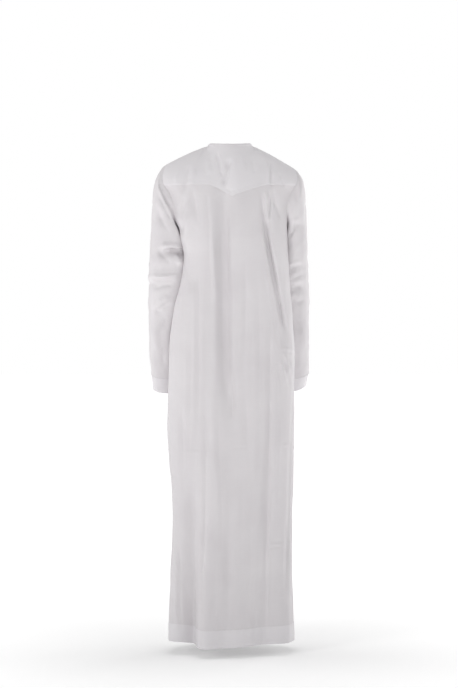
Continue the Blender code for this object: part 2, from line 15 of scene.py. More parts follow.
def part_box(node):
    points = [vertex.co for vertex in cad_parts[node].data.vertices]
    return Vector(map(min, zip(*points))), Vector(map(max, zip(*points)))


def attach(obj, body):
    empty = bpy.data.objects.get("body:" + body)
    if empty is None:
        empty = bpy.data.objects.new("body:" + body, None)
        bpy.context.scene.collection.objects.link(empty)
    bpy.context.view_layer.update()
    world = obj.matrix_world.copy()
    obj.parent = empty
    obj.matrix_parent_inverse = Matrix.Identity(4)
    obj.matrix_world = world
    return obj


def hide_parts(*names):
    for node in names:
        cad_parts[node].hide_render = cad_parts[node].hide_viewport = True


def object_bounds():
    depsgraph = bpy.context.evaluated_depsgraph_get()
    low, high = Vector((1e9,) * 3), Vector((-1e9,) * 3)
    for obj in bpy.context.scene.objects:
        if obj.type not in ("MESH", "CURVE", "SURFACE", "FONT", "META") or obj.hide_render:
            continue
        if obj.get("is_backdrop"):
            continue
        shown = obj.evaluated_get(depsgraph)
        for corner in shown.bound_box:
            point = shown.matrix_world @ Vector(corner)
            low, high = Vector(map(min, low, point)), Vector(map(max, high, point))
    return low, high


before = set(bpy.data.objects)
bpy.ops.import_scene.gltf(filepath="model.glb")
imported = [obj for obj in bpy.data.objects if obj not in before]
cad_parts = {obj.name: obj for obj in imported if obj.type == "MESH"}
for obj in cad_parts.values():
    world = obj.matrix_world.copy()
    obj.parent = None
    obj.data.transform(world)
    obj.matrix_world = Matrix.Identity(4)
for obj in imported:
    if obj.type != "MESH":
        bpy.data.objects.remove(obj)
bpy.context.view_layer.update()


# Back panel
# One length of white plain-woven cotton blend from the yoke seam to the hem, one layer, ironed and then
# creased by wear. It hangs from the shoulders in long soft folds, and drags towards the pocket.

FINER = 4
HEM_BOTTOM = -1.392
HEM_TALL = 0.050
UNDERARM = -0.235
BODY_ROW = 0.0045
YOKE_SIDE_Z = -0.113
YOKE_POINT_Z = -0.146
YOKE_POINT_X = -0.006
YOKE_POINT_REACH_LEFT = 0.064
YOKE_POINT_REACH_RIGHT = 0.098
YOKE_POINT_CURVE = 1.1
COLUMNS_SHOULDER = 8
COLUMNS_NECK_BACK = 22
CLOTH_THICK = 0.0009
ROW_POINTS = 721
ARMHOLE_BEND = 4
FOLD_FACING = (0.1, 0.5)

# Sections of the body: height, reach to the left and the right, to the back and the front, and
# how square the section is (2 is an ellipse)
BODY_SECTIONS = np.array([
    (-1.392, 0.174, 0.184, 0.100, 0.140, 2.3),
    (-1.200, 0.169, 0.178, 0.108, 0.136, 2.3),
    (-1.026, 0.163, 0.177, 0.114, 0.132, 2.3),
    (-0.860, 0.171, 0.178, 0.118, 0.129, 2.3),
    (-0.690, 0.177, 0.183, 0.121, 0.126, 2.3),
    (-0.570, 0.175, 0.185, 0.120, 0.125, 2.4),
    (-0.460, 0.165, 0.180, 0.118, 0.123, 2.5),
    (-0.380, 0.145, 0.175, 0.118, 0.121, 2.6),
    (-0.310, 0.138, 0.173, 0.120, 0.118, 2.6),
    (-0.260, 0.148, 0.172, 0.119, 0.114, 2.6),
    (-0.235, 0.153, 0.172, 0.118, 0.111, 2.5),
    (-0.205, 0.166, 0.172, 0.116, 0.106, 2.4),
    (-0.180, 0.171, 0.174, 0.113, 0.101, 2.3),
    (-0.150, 0.180, 0.182, 0.107, 0.094, 2.3),
    (-0.113, 0.200, 0.200, 0.097, 0.083, 2.3),
])

# Edge of the armhole on the back panel: angle from the side, height
BACK_ARMHOLE = ((0, -0.235), (7.5, -0.227), (15, -0.216), (22, -0.201), (26, -0.183), (28, -0.162),
                (28, -0.138), (26, -0.113))

# Broad folds of the body: side that it is on, its place there at the top and the bottom, the heights
# between which it runs, its half width at the top and the bottom, and how far it stands out
BODY_FOLDS = (
    ("back", 0.013, 0.004, -0.08, -0.78, 0.026, 0.023, -0.0155, -0.0125),
    ("back", -0.004, 0.000, -0.18, -0.70, 0.016, 0.018, 0.004, 0.003),
    ("back", -0.090, -0.152, -0.15, -0.60, 0.017, 0.015, -0.0095, -0.009),
    ("back", 0.100, 0.100, -0.13, -0.42, 0.018, 0.022, -0.003, -0.004),
    ("back", 0.054, 0.064, -0.66, -1.50, 0.021, 0.030, 0.003, 0.026),
    ("back", 0.106, 0.120, -0.88, -1.50, 0.020, 0.026, -0.004, -0.048),
    ("back", -0.095, -0.100, -0.80, -1.50, 0.040, 0.055, 0.000, -0.030),
    ("front", 0.062, 0.082, -0.28, -1.50, 0.022, 0.030, 0.004, 0.020),
    ("front", -0.056, -0.070, -0.33, -1.50, 0.022, 0.028, 0.004, 0.017),
    ("front", 0.006, 0.010, -0.50, -1.50, 0.026, 0.034, -0.003, -0.016),
    ("front", -0.116, -0.124, -0.70, -1.50, 0.020, 0.026, -0.004, -0.015),
    ("left", 0.006, -0.062, -0.15, -0.78, 0.046, 0.050, -0.020, -0.026),
    ("right", 0.002, -0.062, -0.15, -0.78, 0.042, 0.050, -0.028, -0.032),
    ("left", -0.015, -0.030, -0.85, -1.50, 0.024, 0.028, -0.002, -0.010),
    ("right", 0.010, 0.020, -0.95, -1.50, 0.024, 0.028, -0.002, -0.009),
)
FOLD_FADE = 0.16

# The hem isn't quite level: angle from the left side round by the back, lift
HEM_LIFT = np.array([(0, 0.008), (32, 0.010), (52, 0.004), (68, 0.000), (90, 0.001), (120, 0.005),
                     (160, 0.006), (200, 0.004), (270, 0.001), (360, 0.008)])
HEM_LIFT_FADES_AT = -1.0

# Creases of the back in millimetres: path of (across, height), softness on its left and on its right
# going along the path, and how far it stands out
BACK_CREASES = (
    (((12, -135), (11, -240), (9, -330), (8, -420), (7, -520), (5, -640), (7, -760)), 24, 6, -6.4),
    (((56, -140), (52, -220), (49, -300), (46, -380), (44, -450)), 4, 9, 2.0),
    (((-13, -300), (-14, -450), (-13, -560), (-9, -680)), 8, 11, 1.8),
    (((-4, -560), (-9, -640), (-8, -720), (0, -790)), 5, 4, -1.6),
    (((45, -190), (46, -300), (41, -420), (42, -560), (37, -700)), 7, 9, 1.2),
    (((-10, -330), (-13, -450), (-11, -560), (-15, -690)), 8, 9, 1.2),
    (((-86, -126), (-91, -170), (-103, -250), (-112, -305)), 7, 5, -3.0),
    (((-109, -122), (-112, -165), (-105, -250)), 4, 6, -2.5),
    (((-99, -126), (-100, -175), (-103, -225)), 5, 5, 2.1),
    (((-116, -120), (-124, -160), (-141, -210)), 5, 7, -2.5),
    (((-100, -205), (-103, -260), (-117, -328), (-128, -385), (-144, -457), (-159, -532),
      (-169, -562)), 10, 4, -5.6),
    (((-88, -215), (-91, -262), (-103, -330), (-112, -388), (-127, -460), (-142, -533)), 8, 5, 2.8),
    (((-90, -300), (-97, -360), (-108, -420), (-124, -500)), 2.5, 5, 1.3),
    (((-132, -330), (-139, -400), (-155, -470), (-168, -535)), 6, 7, 1.4),
    (((-112, -385), (-113, -520), (-113, -700), (-112, -850), (-109, -955), (-104, -1078),
      (-102, -1200), (-104, -1345)), 18, 4, -4.6),
    (((-138, -690), (-136, -800), (-131, -950), (-122, -1080)), 18, 8, 2.2),
    (((-104, -1090), (-105, -1200), (-106, -1345)), 4, 4, 1.6),
    (((-155, -1035), (-159, -1100), (-160, -1180), (-157, -1250)), 8, 4, -1.6),
    (((-165, -1050), (-168, -1180), (-166, -1290)), 4, 5, 1.0),
    (((70, -640), (69, -760), (69, -900), (73, -1050), (80, -1180), (84, -1345)), 6, 10, -3.6),
    (((42, -560), (39, -700), (38, -950), (41, -1100), (46, -1250), (50, -1345)), 14, 34, 3.2),
    (((34, -820), (30, -960), (29, -1100), (31, -1240), (34, -1360)), 13, 32, 4.2),
    (((39, -700), (31, -850), (25, -1000), (22, -1200)), 8, 10, -1.2),
    (((99, -330), (101, -450), (98, -600), (102, -780), (107, -930)), 6, 8, 1.1),
    (((88, -300), (87, -470), (89, -650), (90, -820)), 6, 7, -1.1),
    (((79, -420), (78, -560), (77, -690)), 5, 6, 0.8),
    (((-39, -260), (-43, -420), (-38, -600), (-45, -760), (-49, -900)), 10, 9, -1.3),
    (((-29, -330), (-32, -480), (-27, -640)), 7, 8, 0.8),
    (((-62, -330), (-65, -480), (-69, -640), (-66, -820), (-71, -1000)), 9, 8, 1.2),
    (((-78, -400), (-82, -560), (-83, -760), (-81, -930)), 8, 9, -1.1),
    (((-93, -1000), (-91, -1120), (-87, -1250)), 9, 8, 0.9),
    (((-57, -960), (-53, -1100), (-49, -1290)), 12, 12, -1.4),
    (((-20, -900), (-17, -1080), (-15, -1290)), 12, 12, 1.2),
    (((3, -950), (5, -1130), (8, -1300)), 10, 10, -0.9),
    (((144, -1080), (141, -1180), (140, -1280), (137, -1365)), 4, 5, -2.2),
    (((152, -1100), (151, -1200), (150, -1350)), 5, 5, 1.5),
    (((127, -1120), (123, -1220), (119, -1345)), 9, 8, -1.2),
    (((135, -700), (131, -840), (132, -960)), 7, 8, -1.3),
    (((119, -560), (120, -700), (124, -820)), 8, 7, 1.0),
    (((152, -846), (110, -853), (70, -851), (40, -848)), 2.2, 2.2, 0.6),
    (((20, -843), (-20, -839), (-60, -838)), 2.2, 2.2, -0.6),
    (((-118, -838), (-150, -834), (-178, -832)), 2.5, 2.5, 0.8),
    (((-100, -1113), (-125, -1108), (-150, -1110), (-176, -1107)), 2.6, 2.6, 1.3),
    (((-100, -1119), (-126, -1115), (-152, -1117)), 2.2, 2.4, -0.9),
    (((-97, -250), (-118, -247), (-137, -250)), 2.2, 2.2, -0.7),
    (((123, -138), (131, -175), (135, -215), (132, -260)), 7, 6, -2.2),
    (((113, -150), (119, -200), (122, -255)), 6, 7, 1.5),
    (((104, -120), (98, -170), (88, -230)), 7, 6, -2.0),
    (((64, -128), (60, -190), (56, -250)), 8, 7, -1.3),
    (((131, -262), (123, -320), (116, -390)), 6, 8, -1.2),
)

# The lower end of the pocket in the right side seam drags the cloth round it
POCKET_PUCKERS = (
    (((-143, -580), (-153, -612), (-163, -648), (-172, -684)), 4, 4, -2.2),
    (((-150, -578), (-160, -604), (-170, -640)), 3.5, 3.5, 1.6),
    (((-158, -580), (-166, -604), (-175, -632)), 3, 3, -1.5),
    (((-140, -592), (-147, -630), (-156, -676)), 5, 4, 1.4),
    (((-167, -600), (-174, -622), (-180, -650)), 3, 3, 1.1),
    (((-130, -590), (-136, -640), (-143, -700)), 6, 6, -1.3),
)
POCKET_BAR = (((-138, -566), (-158, -568), (-182, -571)), 2.6, 2.6, 1.1)
POCKET_BAR_SHADOW = (((-140, -573), (-159, -575), (-180, -578)), 1.8, 1.8, -0.9)

# Creases of the two sides, drawn from front to back
SIDE_CREASES_LEFT = (
    (((-30, -250), (-44, -330), (-58, -430), (-66, -540)), 8, 8, -1.6),
    (((24, -270), (20, -380), (14, -500), (10, -640)), 8, 8, 1.3),
    (((-6, -640), (-10, -820), (-14, -1020), (-20, -1330)), 8, 9, 1.5),
    (((18, -720), (22, -900), (26, -1100), (30, -1340)), 7, 9, -1.7),
    (((-44, -700), (-46, -900), (-50, -1110), (-54, -1340)), 9, 7, -1.6),
    (((-70, -760), (-72, -960), (-76, -1180)), 8, 8, 1.1),
    (((-60, -846), (-10, -850), (50, -847)), 2.2, 2.2, 0.8),
)
SIDE_CREASES_RIGHT = (
    (((-26, -250), (-40, -330), (-54, -440), (-60, -550)), 8, 8, -1.5),
    (((28, -300), (24, -400), (20, -520), (24, -640)), 8, 8, 1.2),
    (((-8, -600), (-12, -800), (-18, -1010), (-22, -1320)), 9, 8, -1.6),
    (((22, -700), (20, -880), (24, -1080), (28, -1330)), 8, 8, 1.5),
    (((48, -640), (46, -820), (50, -1020), (56, -1330)), 8, 7, -1.5),
    (((-52, -720), (-54, -940), (-60, -1200)), 8, 8, 1.2),
    (((-50, -845), (0, -842), (60, -846)), 2.2, 2.2, 0.8),
)

CLOTH_COLOUR = (0.700, 0.676, 0.690)
CLOTH_SHADE = (0.655, 0.628, 0.645)
THREAD_PITCH = 0.00045
THREAD_DEPTH = 0.00006
CRUMPLE_DEPTH = 0.0010
SLUB_SHARE = 0.35
SMOOTH_CLOTH = math.radians(50)


def unit(vector):
    """Vectors along the last axis, scaled to length one."""
    return vector / np.maximum(np.linalg.norm(vector, axis=-1, keepdims=True), 1e-12)


def smoothstep(low, high, value):
    """Zero below low, one above high, and an S curve between."""
    t = np.clip((value - low) / (high - low), 0.0, 1.0)
    return t * t * (3.0 - 2.0 * t)


def hermite(t, first, last, leave, arrive):
    """A point on the smooth way from first to last, with the speeds at which it leaves and arrives."""
    rise = (3 - 2 * t) * t * t
    return first * (1 - rise) + last * rise + leave * (1 - t) ** 2 * t + arrive * (t - 1) * t * t


def signed_power(value, power):
    """A power of a value, with the value's sign."""
    return np.sign(value) * np.abs(value) ** power


def through(places, values, where):
    """A smooth curve through a table's values that doesn't overshoot them."""
    where = np.clip(where, places[0], places[-1])
    steps = np.diff(places)
    slopes = np.diff(values) / steps
    tangents = np.zeros(len(places))
    same_way = slopes[:-1] * slopes[1:] > 0
    total = slopes[:-1] + slopes[1:]
    tangents[1:-1] = np.where(same_way, 2 * slopes[:-1] * slopes[1:] / np.where(total == 0, 1, total), 0)
    tangents[0], tangents[-1] = slopes[0], slopes[-1]
    i = np.clip(np.searchsorted(places, where) - 1, 0, len(steps) - 1)
    t = (where - places[i]) / steps[i]
    return hermite(t, values[i], values[i + 1], steps[i] * tangents[i], steps[i] * tangents[i + 1])


def body_points(angles, heights):
    """Points of the body at angles from the left side round by the back, in degrees."""
    left, right, back, front, square = (
        through(BODY_SECTIONS[:, 0], BODY_SECTIONS[:, column], heights) for column in range(1, 6))
    turn = np.radians(angles)
    cosine, sine = np.cos(turn), np.sin(turn)
    half_width = np.where(cosine >= 0, left, right)
    half_depth = np.where(sine >= 0, back, front)
    x = half_width * signed_power(cosine, 2 / square)
    y = half_depth * signed_power(sine, 2 / square)
    across = signed_power(x / half_width, square - 1) / half_width
    along = signed_power(y / half_depth, square - 1) / half_depth
    normal = unit(np.stack([across, along], axis=-1))
    moved = np.zeros_like(x)
    faces = {"left": (normal[..., 0], y), "right": (-normal[..., 0], y),
             "back": (normal[..., 1], x), "front": (-normal[..., 1], x)}
    for face, place_top, place_low, top, low, wide_top, wide_low, out_top, out_low in BODY_FOLDS:
        facing, place = faces[face]
        down = (top - heights) / (top - low)
        shown = smoothstep(0, FOLD_FADE, down) * smoothstep(0, FOLD_FADE, 1 - down)
        middle = place_top + (place_low - place_top) * down
        wide = wide_top + (wide_low - wide_top) * down
        out = out_top + (out_low - out_top) * down
        moved += smoothstep(*FOLD_FACING, facing) * shown * out * np.exp(-((place - middle) / wide) ** 2)
    return np.stack([x + normal[..., 0] * moved, y + normal[..., 1] * moved, heights], axis=-1)


def lengths_along(curve):
    """Distance of each point of a curve from its start."""
    return np.concatenate([[0], np.cumsum(np.linalg.norm(np.diff(curve, axis=0), axis=1))])


def spaced(curve, places):
    """Points of a dense curve at the given distances along it."""
    lengths = lengths_along(curve)
    return np.stack([np.interp(places, lengths, curve[:, axis]) for axis in range(3)], axis=1)


def even_columns(curve, count):
    """Points that divide a curve into equal parts."""
    return spaced(curve, np.linspace(0, lengths_along(curve)[-1], count + 1))


def distance_to(curve, x):
    """Distance along a curve, which runs from side to side, to where it reaches a place across."""
    order = np.argsort(curve[:, 0])
    return float(np.interp(x, curve[order, 0], lengths_along(curve)[order]))


def back_columns(curve, count):
    """Equal parts on each side of the line that the yoke's point lies on."""
    middle = distance_to(curve, YOKE_POINT_X)
    before = np.linspace(0, middle, count // 2 + 1)
    after = np.linspace(middle, lengths_along(curve)[-1], count // 2 + 1)
    return spaced(curve, np.concatenate([before, after[1:]]))


def yoke_seam_height(x):
    """Height of the yoke seam at a place across the back."""
    reach = np.where(x > YOKE_POINT_X, YOKE_POINT_REACH_LEFT, YOKE_POINT_REACH_RIGHT)
    nearness = np.clip(1 - np.abs(x - YOKE_POINT_X) / reach, 0, 1)
    return YOKE_SIDE_Z + (YOKE_POINT_Z - YOKE_SIDE_Z) * nearness ** YOKE_POINT_CURVE


def straight_row(height, start, end):
    """A dense row of the body, level but for the hem's lift."""
    angles = np.linspace(start, end, ROW_POINTS)
    lift = through(HEM_LIFT[:, 0], HEM_LIFT[:, 1], angles)
    fade = smoothstep(HEM_LIFT_FADES_AT, HEM_BOTTOM, np.full(ROW_POINTS, height))
    return body_points(angles, height + lift * fade)


def bent_row(edge_angle, edge_height, middle_heights, start, end):
    """A dense row between two armhole edges, at middle heights that bend to the edges' height."""
    angles = np.linspace(start + edge_angle, end - edge_angle, ROW_POINTS)
    sideways = np.abs(np.linspace(-1, 1, ROW_POINTS))
    lift = (edge_height - middle_heights[0]) * sideways ** ARMHOLE_BEND
    return body_points(angles, middle_heights + lift)


def armhole_steps(table):
    """An armhole's edge read more finely: share of the way up it, angle and height."""
    table = np.array(table, float)
    steps = len(table) - 1
    t = np.linspace(0, steps, steps * FINER + 1)[1:]
    places = np.arange(steps + 1.0)
    return zip(t / steps, through(places, table[:, 0], t), through(places, table[:, 1], t))


def level_rows(low, high):
    """Heights from one level to another, a row's height apart."""
    return np.linspace(low, high, int(round((high - low) / BODY_ROW)) + 1)


def back_rows():
    """Rows of the back panel from the hem seam to the yoke seam."""
    columns = (2 * COLUMNS_SHOULDER + COLUMNS_NECK_BACK) * FINER
    rows = [back_columns(straight_row(z, 0, 180), columns)
            for z in level_rows(HEM_BOTTOM + HEM_TALL, UNDERARM)]
    for rising, angle, height in armhole_steps(BACK_ARMHOLE):
        across = straight_row(height, angle, 180 - angle)[:, 0]
        heights = UNDERARM * (1 - rising) + yoke_seam_height(across) * rising
        rows.append(back_columns(bent_row(angle, height, heights, 0, 180), columns))
    return np.array(rows)


def grid_normals(grid, closed, flip=1):
    """Unit normals of a grid of points, out of the cloth's right side."""
    if closed:
        along = np.roll(grid, -1, axis=1) - np.roll(grid, 1, axis=1)
    else:
        along = np.gradient(grid, axis=1)
    return unit(np.cross(along, np.gradient(grid, axis=0))) * flip


CREASE_DEPTH = 1.6
CREASE_FACING = (0.02, 0.4)
CREASE_FADE = 0.28
CREASE_UNEVEN = 0.22
CREASE_WAVES = 1.9
CREASE_SHIFT = 0.37

# Ripples: size across, size up, and how far they stand out
RIPPLES_LONG = (0.016, 0.30, 0.0011)
RIPPLES_SOFT = (0.035, 0.06, 0.0012)
RIPPLES_LONG_FROM = -0.16
RIPPLES_LONG_FULL = -0.40

# Side of the robe: axis that faces it and its sign, and axis across it
SEEN_FROM = {"back": (1, 1.0, 0), "front": (1, -1.0, 0), "left": (0, 1.0, 1), "right": (0, -1.0, 1)}


def creased(points, normals, side, creases):
    """How far creases that are drawn on one side of the robe move its points along their normals."""
    facing_axis, facing_sign, across_axis = SEEN_FROM[side]
    facing = smoothstep(*CREASE_FACING, normals[..., facing_axis] * facing_sign)
    across, up = points[..., across_axis] * 1000, points[..., 2] * 1000
    moved = np.zeros(across.shape)
    for number, (path, soft_left, soft_right, out) in enumerate(creases):
        path = np.array(path, float)
        reach = 3 * max(soft_left, soft_right)
        near = ((across > path[:, 0].min() - reach) & (across < path[:, 0].max() + reach)
                & (up > path[:, 1].min() - reach) & (up < path[:, 1].max() + reach) & (facing > 0))
        if not near.any():
            continue
        spot = np.stack([across[near], up[near]], axis=-1)
        runs = np.linalg.norm(np.diff(path, axis=0), axis=1)
        starts = np.concatenate([[0], np.cumsum(runs)])
        closest = np.full(len(spot), np.inf)
        side_of = np.zeros(len(spot))
        share = np.zeros(len(spot))
        for a, b, run, start in zip(path, path[1:], runs, starts):
            t = np.clip((spot - a) @ (b - a) / run ** 2, 0, 1)
            away = spot - a - t[:, None] * (b - a)
            distance = np.linalg.norm(away, axis=1)
            cross = (b - a)[0] * away[:, 1] - (b - a)[1] * away[:, 0]
            better = distance < closest
            closest = np.where(better, distance, closest)
            side_of = np.where(better, cross, side_of)
            share = np.where(better, (start + t * run) / starts[-1], share)
        softness = np.where(side_of > 0, soft_left, soft_right)
        swell = smoothstep(0, CREASE_FADE, share) * smoothstep(0, CREASE_FADE, 1 - share)
        uneven = 1 + CREASE_UNEVEN * np.sin(math.tau * (CREASE_WAVES * share + CREASE_SHIFT * number))
        moved[near] += out * swell * uneven * np.exp(-(closest / softness) ** 2)
    return moved * facing * CREASE_DEPTH / 1000


def rippled(points, across_size, up_size, out):
    """Soft uneven ripples, far longer than they are wide, as in cloth that hangs."""
    flat = points.reshape(-1, 3)
    places = np.stack([flat[:, 0] / across_size, flat[:, 1] / across_size, flat[:, 2] / up_size], axis=1)
    depth = np.array([noise.noise(Vector(place)) for place in places])
    return depth.reshape(points.shape[:-1]) * out


def worn(points, normals, *creases):
    """How far the body's cloth moves in and out: its creases, those of the sides, and soft ripples."""
    moved = creased(points, normals, "left", SIDE_CREASES_LEFT)
    moved += creased(points, normals, "right", SIDE_CREASES_RIGHT)
    for side, table in creases:
        moved += creased(points, normals, side, table)
    hanging = smoothstep(RIPPLES_LONG_FROM, RIPPLES_LONG_FULL, points[..., 2])
    moved += rippled(points, *RIPPLES_LONG) * hanging
    return moved + rippled(points, *RIPPLES_SOFT)


def flat_lengths(grid, closed):
    """The cut's own coordinates: metres along each row and up each column."""
    if closed:
        grid = np.concatenate([grid, grid[:, :1]], axis=1)
    steps_along = np.linalg.norm(np.diff(grid, axis=1), axis=2)
    steps_up = np.linalg.norm(np.diff(grid, axis=0), axis=2)
    along = np.concatenate([np.zeros((len(grid), 1)), np.cumsum(steps_along, axis=1)], axis=1)
    middle = along.shape[1] // 2
    along = along - along[:, middle:middle + 1]
    up = np.concatenate([np.zeros((1, grid.shape[1])), np.cumsum(steps_up, axis=0)], axis=0)
    return np.stack([along, up], axis=-1)


def set_inputs(node, **values):
    """Set a node's inputs by name; an underscore stands for a space."""
    for name, value in values.items():
        node.inputs[name.replace("_", " ")].default_value = value


def node_material(name):
    """A new material, its nodes and its Principled shader."""
    material = bpy.data.materials.new(name)
    material.use_nodes = True
    return material, material.node_tree, material.node_tree.nodes["Principled BSDF"]


def plain_weave(name, colour, shade):
    """White plain weave: warp and weft threads, faint slubs and the mottling of ironed cotton."""
    material, tree, shader = node_material(name)
    add, link = tree.nodes.new, tree.links.new
    cut = add("ShaderNodeUVMap")
    cut.uv_map = "cut"
    place = add("ShaderNodeTexCoord")

    def threads(direction):
        wave = add("ShaderNodeTexWave")
        wave.bands_direction = direction
        wave.wave_profile = "SIN"
        set_inputs(wave, Scale=math.pi / (10 * THREAD_PITCH), Distortion=0.6, Detail=1.0)
        link(cut.outputs["UV"], wave.inputs["Vector"])
        return wave.outputs["Fac"]

    def cloudy(vector, **values):
        cloud = add("ShaderNodeTexNoise")
        set_inputs(cloud, **values)
        link(vector, cloud.inputs["Vector"])
        return cloud.outputs["Fac"]

    def raised(height, **values):
        bump = add("ShaderNodeBump")
        set_inputs(bump, **values)
        link(height, bump.inputs["Height"])
        return bump

    over = add("ShaderNodeMath")
    over.operation = "MULTIPLY"
    link(threads("X"), over.inputs[0])
    link(threads("Y"), over.inputs[1])

    slub_place = add("ShaderNodeMapping")
    set_inputs(slub_place, Scale=(18, 900, 1))
    link(cut.outputs["UV"], slub_place.inputs["Vector"])
    blend = add("ShaderNodeMath")
    blend.operation = "MULTIPLY_ADD"
    blend.inputs[1].default_value = SLUB_SHARE
    link(cloudy(slub_place.outputs["Vector"], Scale=1.0, Detail=2.0), blend.inputs[0])
    link(cloudy(place.outputs["Object"], Scale=9.0, Detail=4.0), blend.inputs[2])
    tone = add("ShaderNodeMapRange")
    set_inputs(tone, From_Min=0.45, From_Max=0.90)
    link(blend.outputs["Value"], tone.inputs["Value"])
    mix = add("ShaderNodeMix")
    mix.data_type = "RGBA"
    set_inputs(mix, A=(*shade, 1), B=(*colour, 1))
    link(tone.outputs["Result"], mix.inputs["Factor"])
    link(mix.outputs["Result"], shader.inputs["Base Color"])

    crumple = cloudy(place.outputs["Object"], Scale=75.0, Detail=5.0, Roughness=0.62)
    soft_bump = raised(crumple, Strength=0.55, Distance=CRUMPLE_DEPTH)
    weave_bump = raised(over.outputs["Value"], Strength=0.6, Distance=THREAD_DEPTH)
    link(soft_bump.outputs["Normal"], weave_bump.inputs["Normal"])
    link(weave_bump.outputs["Normal"], shader.inputs["Normal"])
    set_inputs(shader, Roughness=0.86, Specular_IOR_Level=0.25, Sheen_Weight=0.12, Sheen_Roughness=0.5)
    return material


def only(piece):
    """Select one piece alone and make it the active one."""
    bpy.ops.object.select_all(action="DESELECT")
    piece.select_set(True)
    bpy.context.view_layer.objects.active = piece


def cloth_sheet(name, grid, closed, material, thick=CLOTH_THICK, flip=1):
    """A sheet of cloth over a grid of points, with its cut as UV map and its thickness inwards."""
    rows, columns = grid.shape[:2]
    wide = columns if closed else columns - 1
    r, c = np.meshgrid(np.arange(rows - 1), np.arange(wide), indexing="ij")
    r, c = r.ravel(), c.ravel()
    corners = [(r, c), (r, c + 1), (r + 1, c + 1), (r + 1, c)]
    if flip < 0:
        corners.reverse()
    faces = np.stack([row * columns + column % columns for row, column in corners], axis=1)
    mesh = bpy.data.meshes.new(name)
    mesh.from_pydata(grid.reshape(-1, 3).tolist(), [], faces.tolist())
    cut = flat_lengths(grid, closed)
    uv = np.stack([cut[row, column] for row, column in corners], axis=1).reshape(-1)
    mesh.uv_layers.new(name="cut").data.foreach_set("uv", uv.astype(np.float32))
    mesh.materials.append(material)
    piece = bpy.data.objects.new(name, mesh)
    bpy.context.scene.collection.objects.link(piece)
    only(piece)
    wall = piece.modifiers.new("thickness", "SOLIDIFY")
    wall.thickness = thick
    wall.offset = -1
    bpy.ops.object.modifier_apply(modifier=wall.name)
    bpy.ops.object.shade_smooth_by_angle(angle=SMOOTH_CLOTH)
    return piece


def hand_in(piece, node):
    """Let a sheet of cloth stand for its solid: hang it on the root and hide the solid."""
    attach(piece, "root")
    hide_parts(node)


main_cloth = plain_weave("main_cloth", CLOTH_COLOUR, CLOTH_SHADE)
back_form = back_rows()
rows_back = len(back_form)


# Back yoke
# A doubled shoulder piece with a pointed lower edge. It runs over both shoulders to their seams, and its
# lower edge is turned under, laid on the back panel and stitched down, so the seam stands a little proud.

SHOULDER_X = 0.180
SHOULDER_Y = -0.010
SHOULDER_LEFT_Z = -0.050
SHOULDER_RIGHT_Z = -0.061
SHOULDER_CURVE = 1.15
NECK_HALF_WIDTH = 0.062
NECK_BACK = 0.060
NECK_FRONT = -0.075
NECK_SIDE_Z = 0.003
NECK_BACK_Z = -0.004
NECK_FRONT_Z = -0.062
ROWS_YOKE = 40
YOKE_PROUD = 0.0007
TURN_UNDER = 0.008
TURN_UNDER_PROUD = 0.0006
TURN_UNDER_FADE = (0.6 * TURN_UNDER, 1.4 * TURN_UNDER)
YOKE_THICK = 0.0016
SHOULDER_POINTS = 241
NECK_POINTS = 481
NECK_ARRIVAL_CURVE = 0.7

YOKE_CREASES = (
    (((36, -16), (32, -40), (27, -64), (21, -96)), 7, 4, -2.4),
    (((-2, -36), (3, -62), (10, -92), (17, -128)), 9, 4, -3.6),
    (((110, -56), (117, -84), (126, -112), (134, -140)), 9, 5, -3.0),
    (((95, -62), (103, -90), (110, -118)), 6, 6, 1.4),
    (((-112, -36), (-114, -70), (-114, -98), (-115, -130)), 5, 9, -2.3),
    (((-106, -50), (-107, -80), (-106, -118)), 5, 4, 1.3),
    (((-59, -32), (-65, -56), (-69, -86)), 8, 8, -0.9),
    (((63, -36), (59, -62), (53, -92)), 8, 8, 0.9),
    (((-33, -24), (-37, -52), (-41, -84)), 7, 7, 0.8),
    (((-135, -76), (-143, -98), (-150, -120)), 5, 5, -1.3),
    (((139, -66), (147, -86), (151, -112)), 4, 5, 1.2),
    (((50, -120), (20, -128), (-10, -134)), 6, 6, -0.8),
)

# Colours of the doubled pieces, painted lighter than the single cloth: painted light for the shade of the
# hollow inside, which shows through one layer of cloth but not through two
BAND_COLOUR = (0.748, 0.727, 0.745)
BAND_SHADE = (0.715, 0.692, 0.712)


def shoulder_curve(side, end_height):
    """Dense shoulder seam, from the shoulder point to the neck."""
    f = np.linspace(1, 0, SHOULDER_POINTS)
    x = NECK_HALF_WIDTH + (SHOULDER_X - NECK_HALF_WIDTH) * f
    z = NECK_SIDE_Z + (end_height - NECK_SIDE_Z) * f ** SHOULDER_CURVE
    return np.stack([side * x, np.full(SHOULDER_POINTS, SHOULDER_Y), z], axis=1)


def neck_curve(far_y, far_z, start, end):
    """Dense half of the neck opening, between two turns in degrees."""
    turn = np.radians(np.linspace(start, end, NECK_POINTS))
    reach = np.abs(np.sin(turn))
    y = SHOULDER_Y + (far_y - SHOULDER_Y) * reach
    z = NECK_SIDE_Z + (far_z - NECK_SIDE_Z) * reach ** 2
    return np.stack([NECK_HALF_WIDTH * np.cos(turn), y, z], axis=1)


def hermite_rows(before, first, last, arrive, count):
    """Rows that leave the first row as it was reached and arrive at the last in a given direction."""
    chord = np.linalg.norm(last - first, axis=1, keepdims=True)
    leave = unit(first - before) * chord
    arrive = unit(arrive) * chord
    return [hermite(t, first, last, leave, arrive) for t in np.linspace(0, 1, count + 1)[1:]]


def top_arrivals(columns_neck, over_shoulder, up_neck):
    """Direction in which each column reaches the shoulder seams and the neck."""
    turn = np.radians(np.linspace(0, 180, columns_neck + 1))
    level = np.zeros(COLUMNS_SHOULDER * FINER)
    to_neck = np.concatenate([level, np.sin(turn) ** NECK_ARRIVAL_CURVE, level])
    return np.outer(1 - to_neck, over_shoulder) + np.outer(to_neck, up_neck)


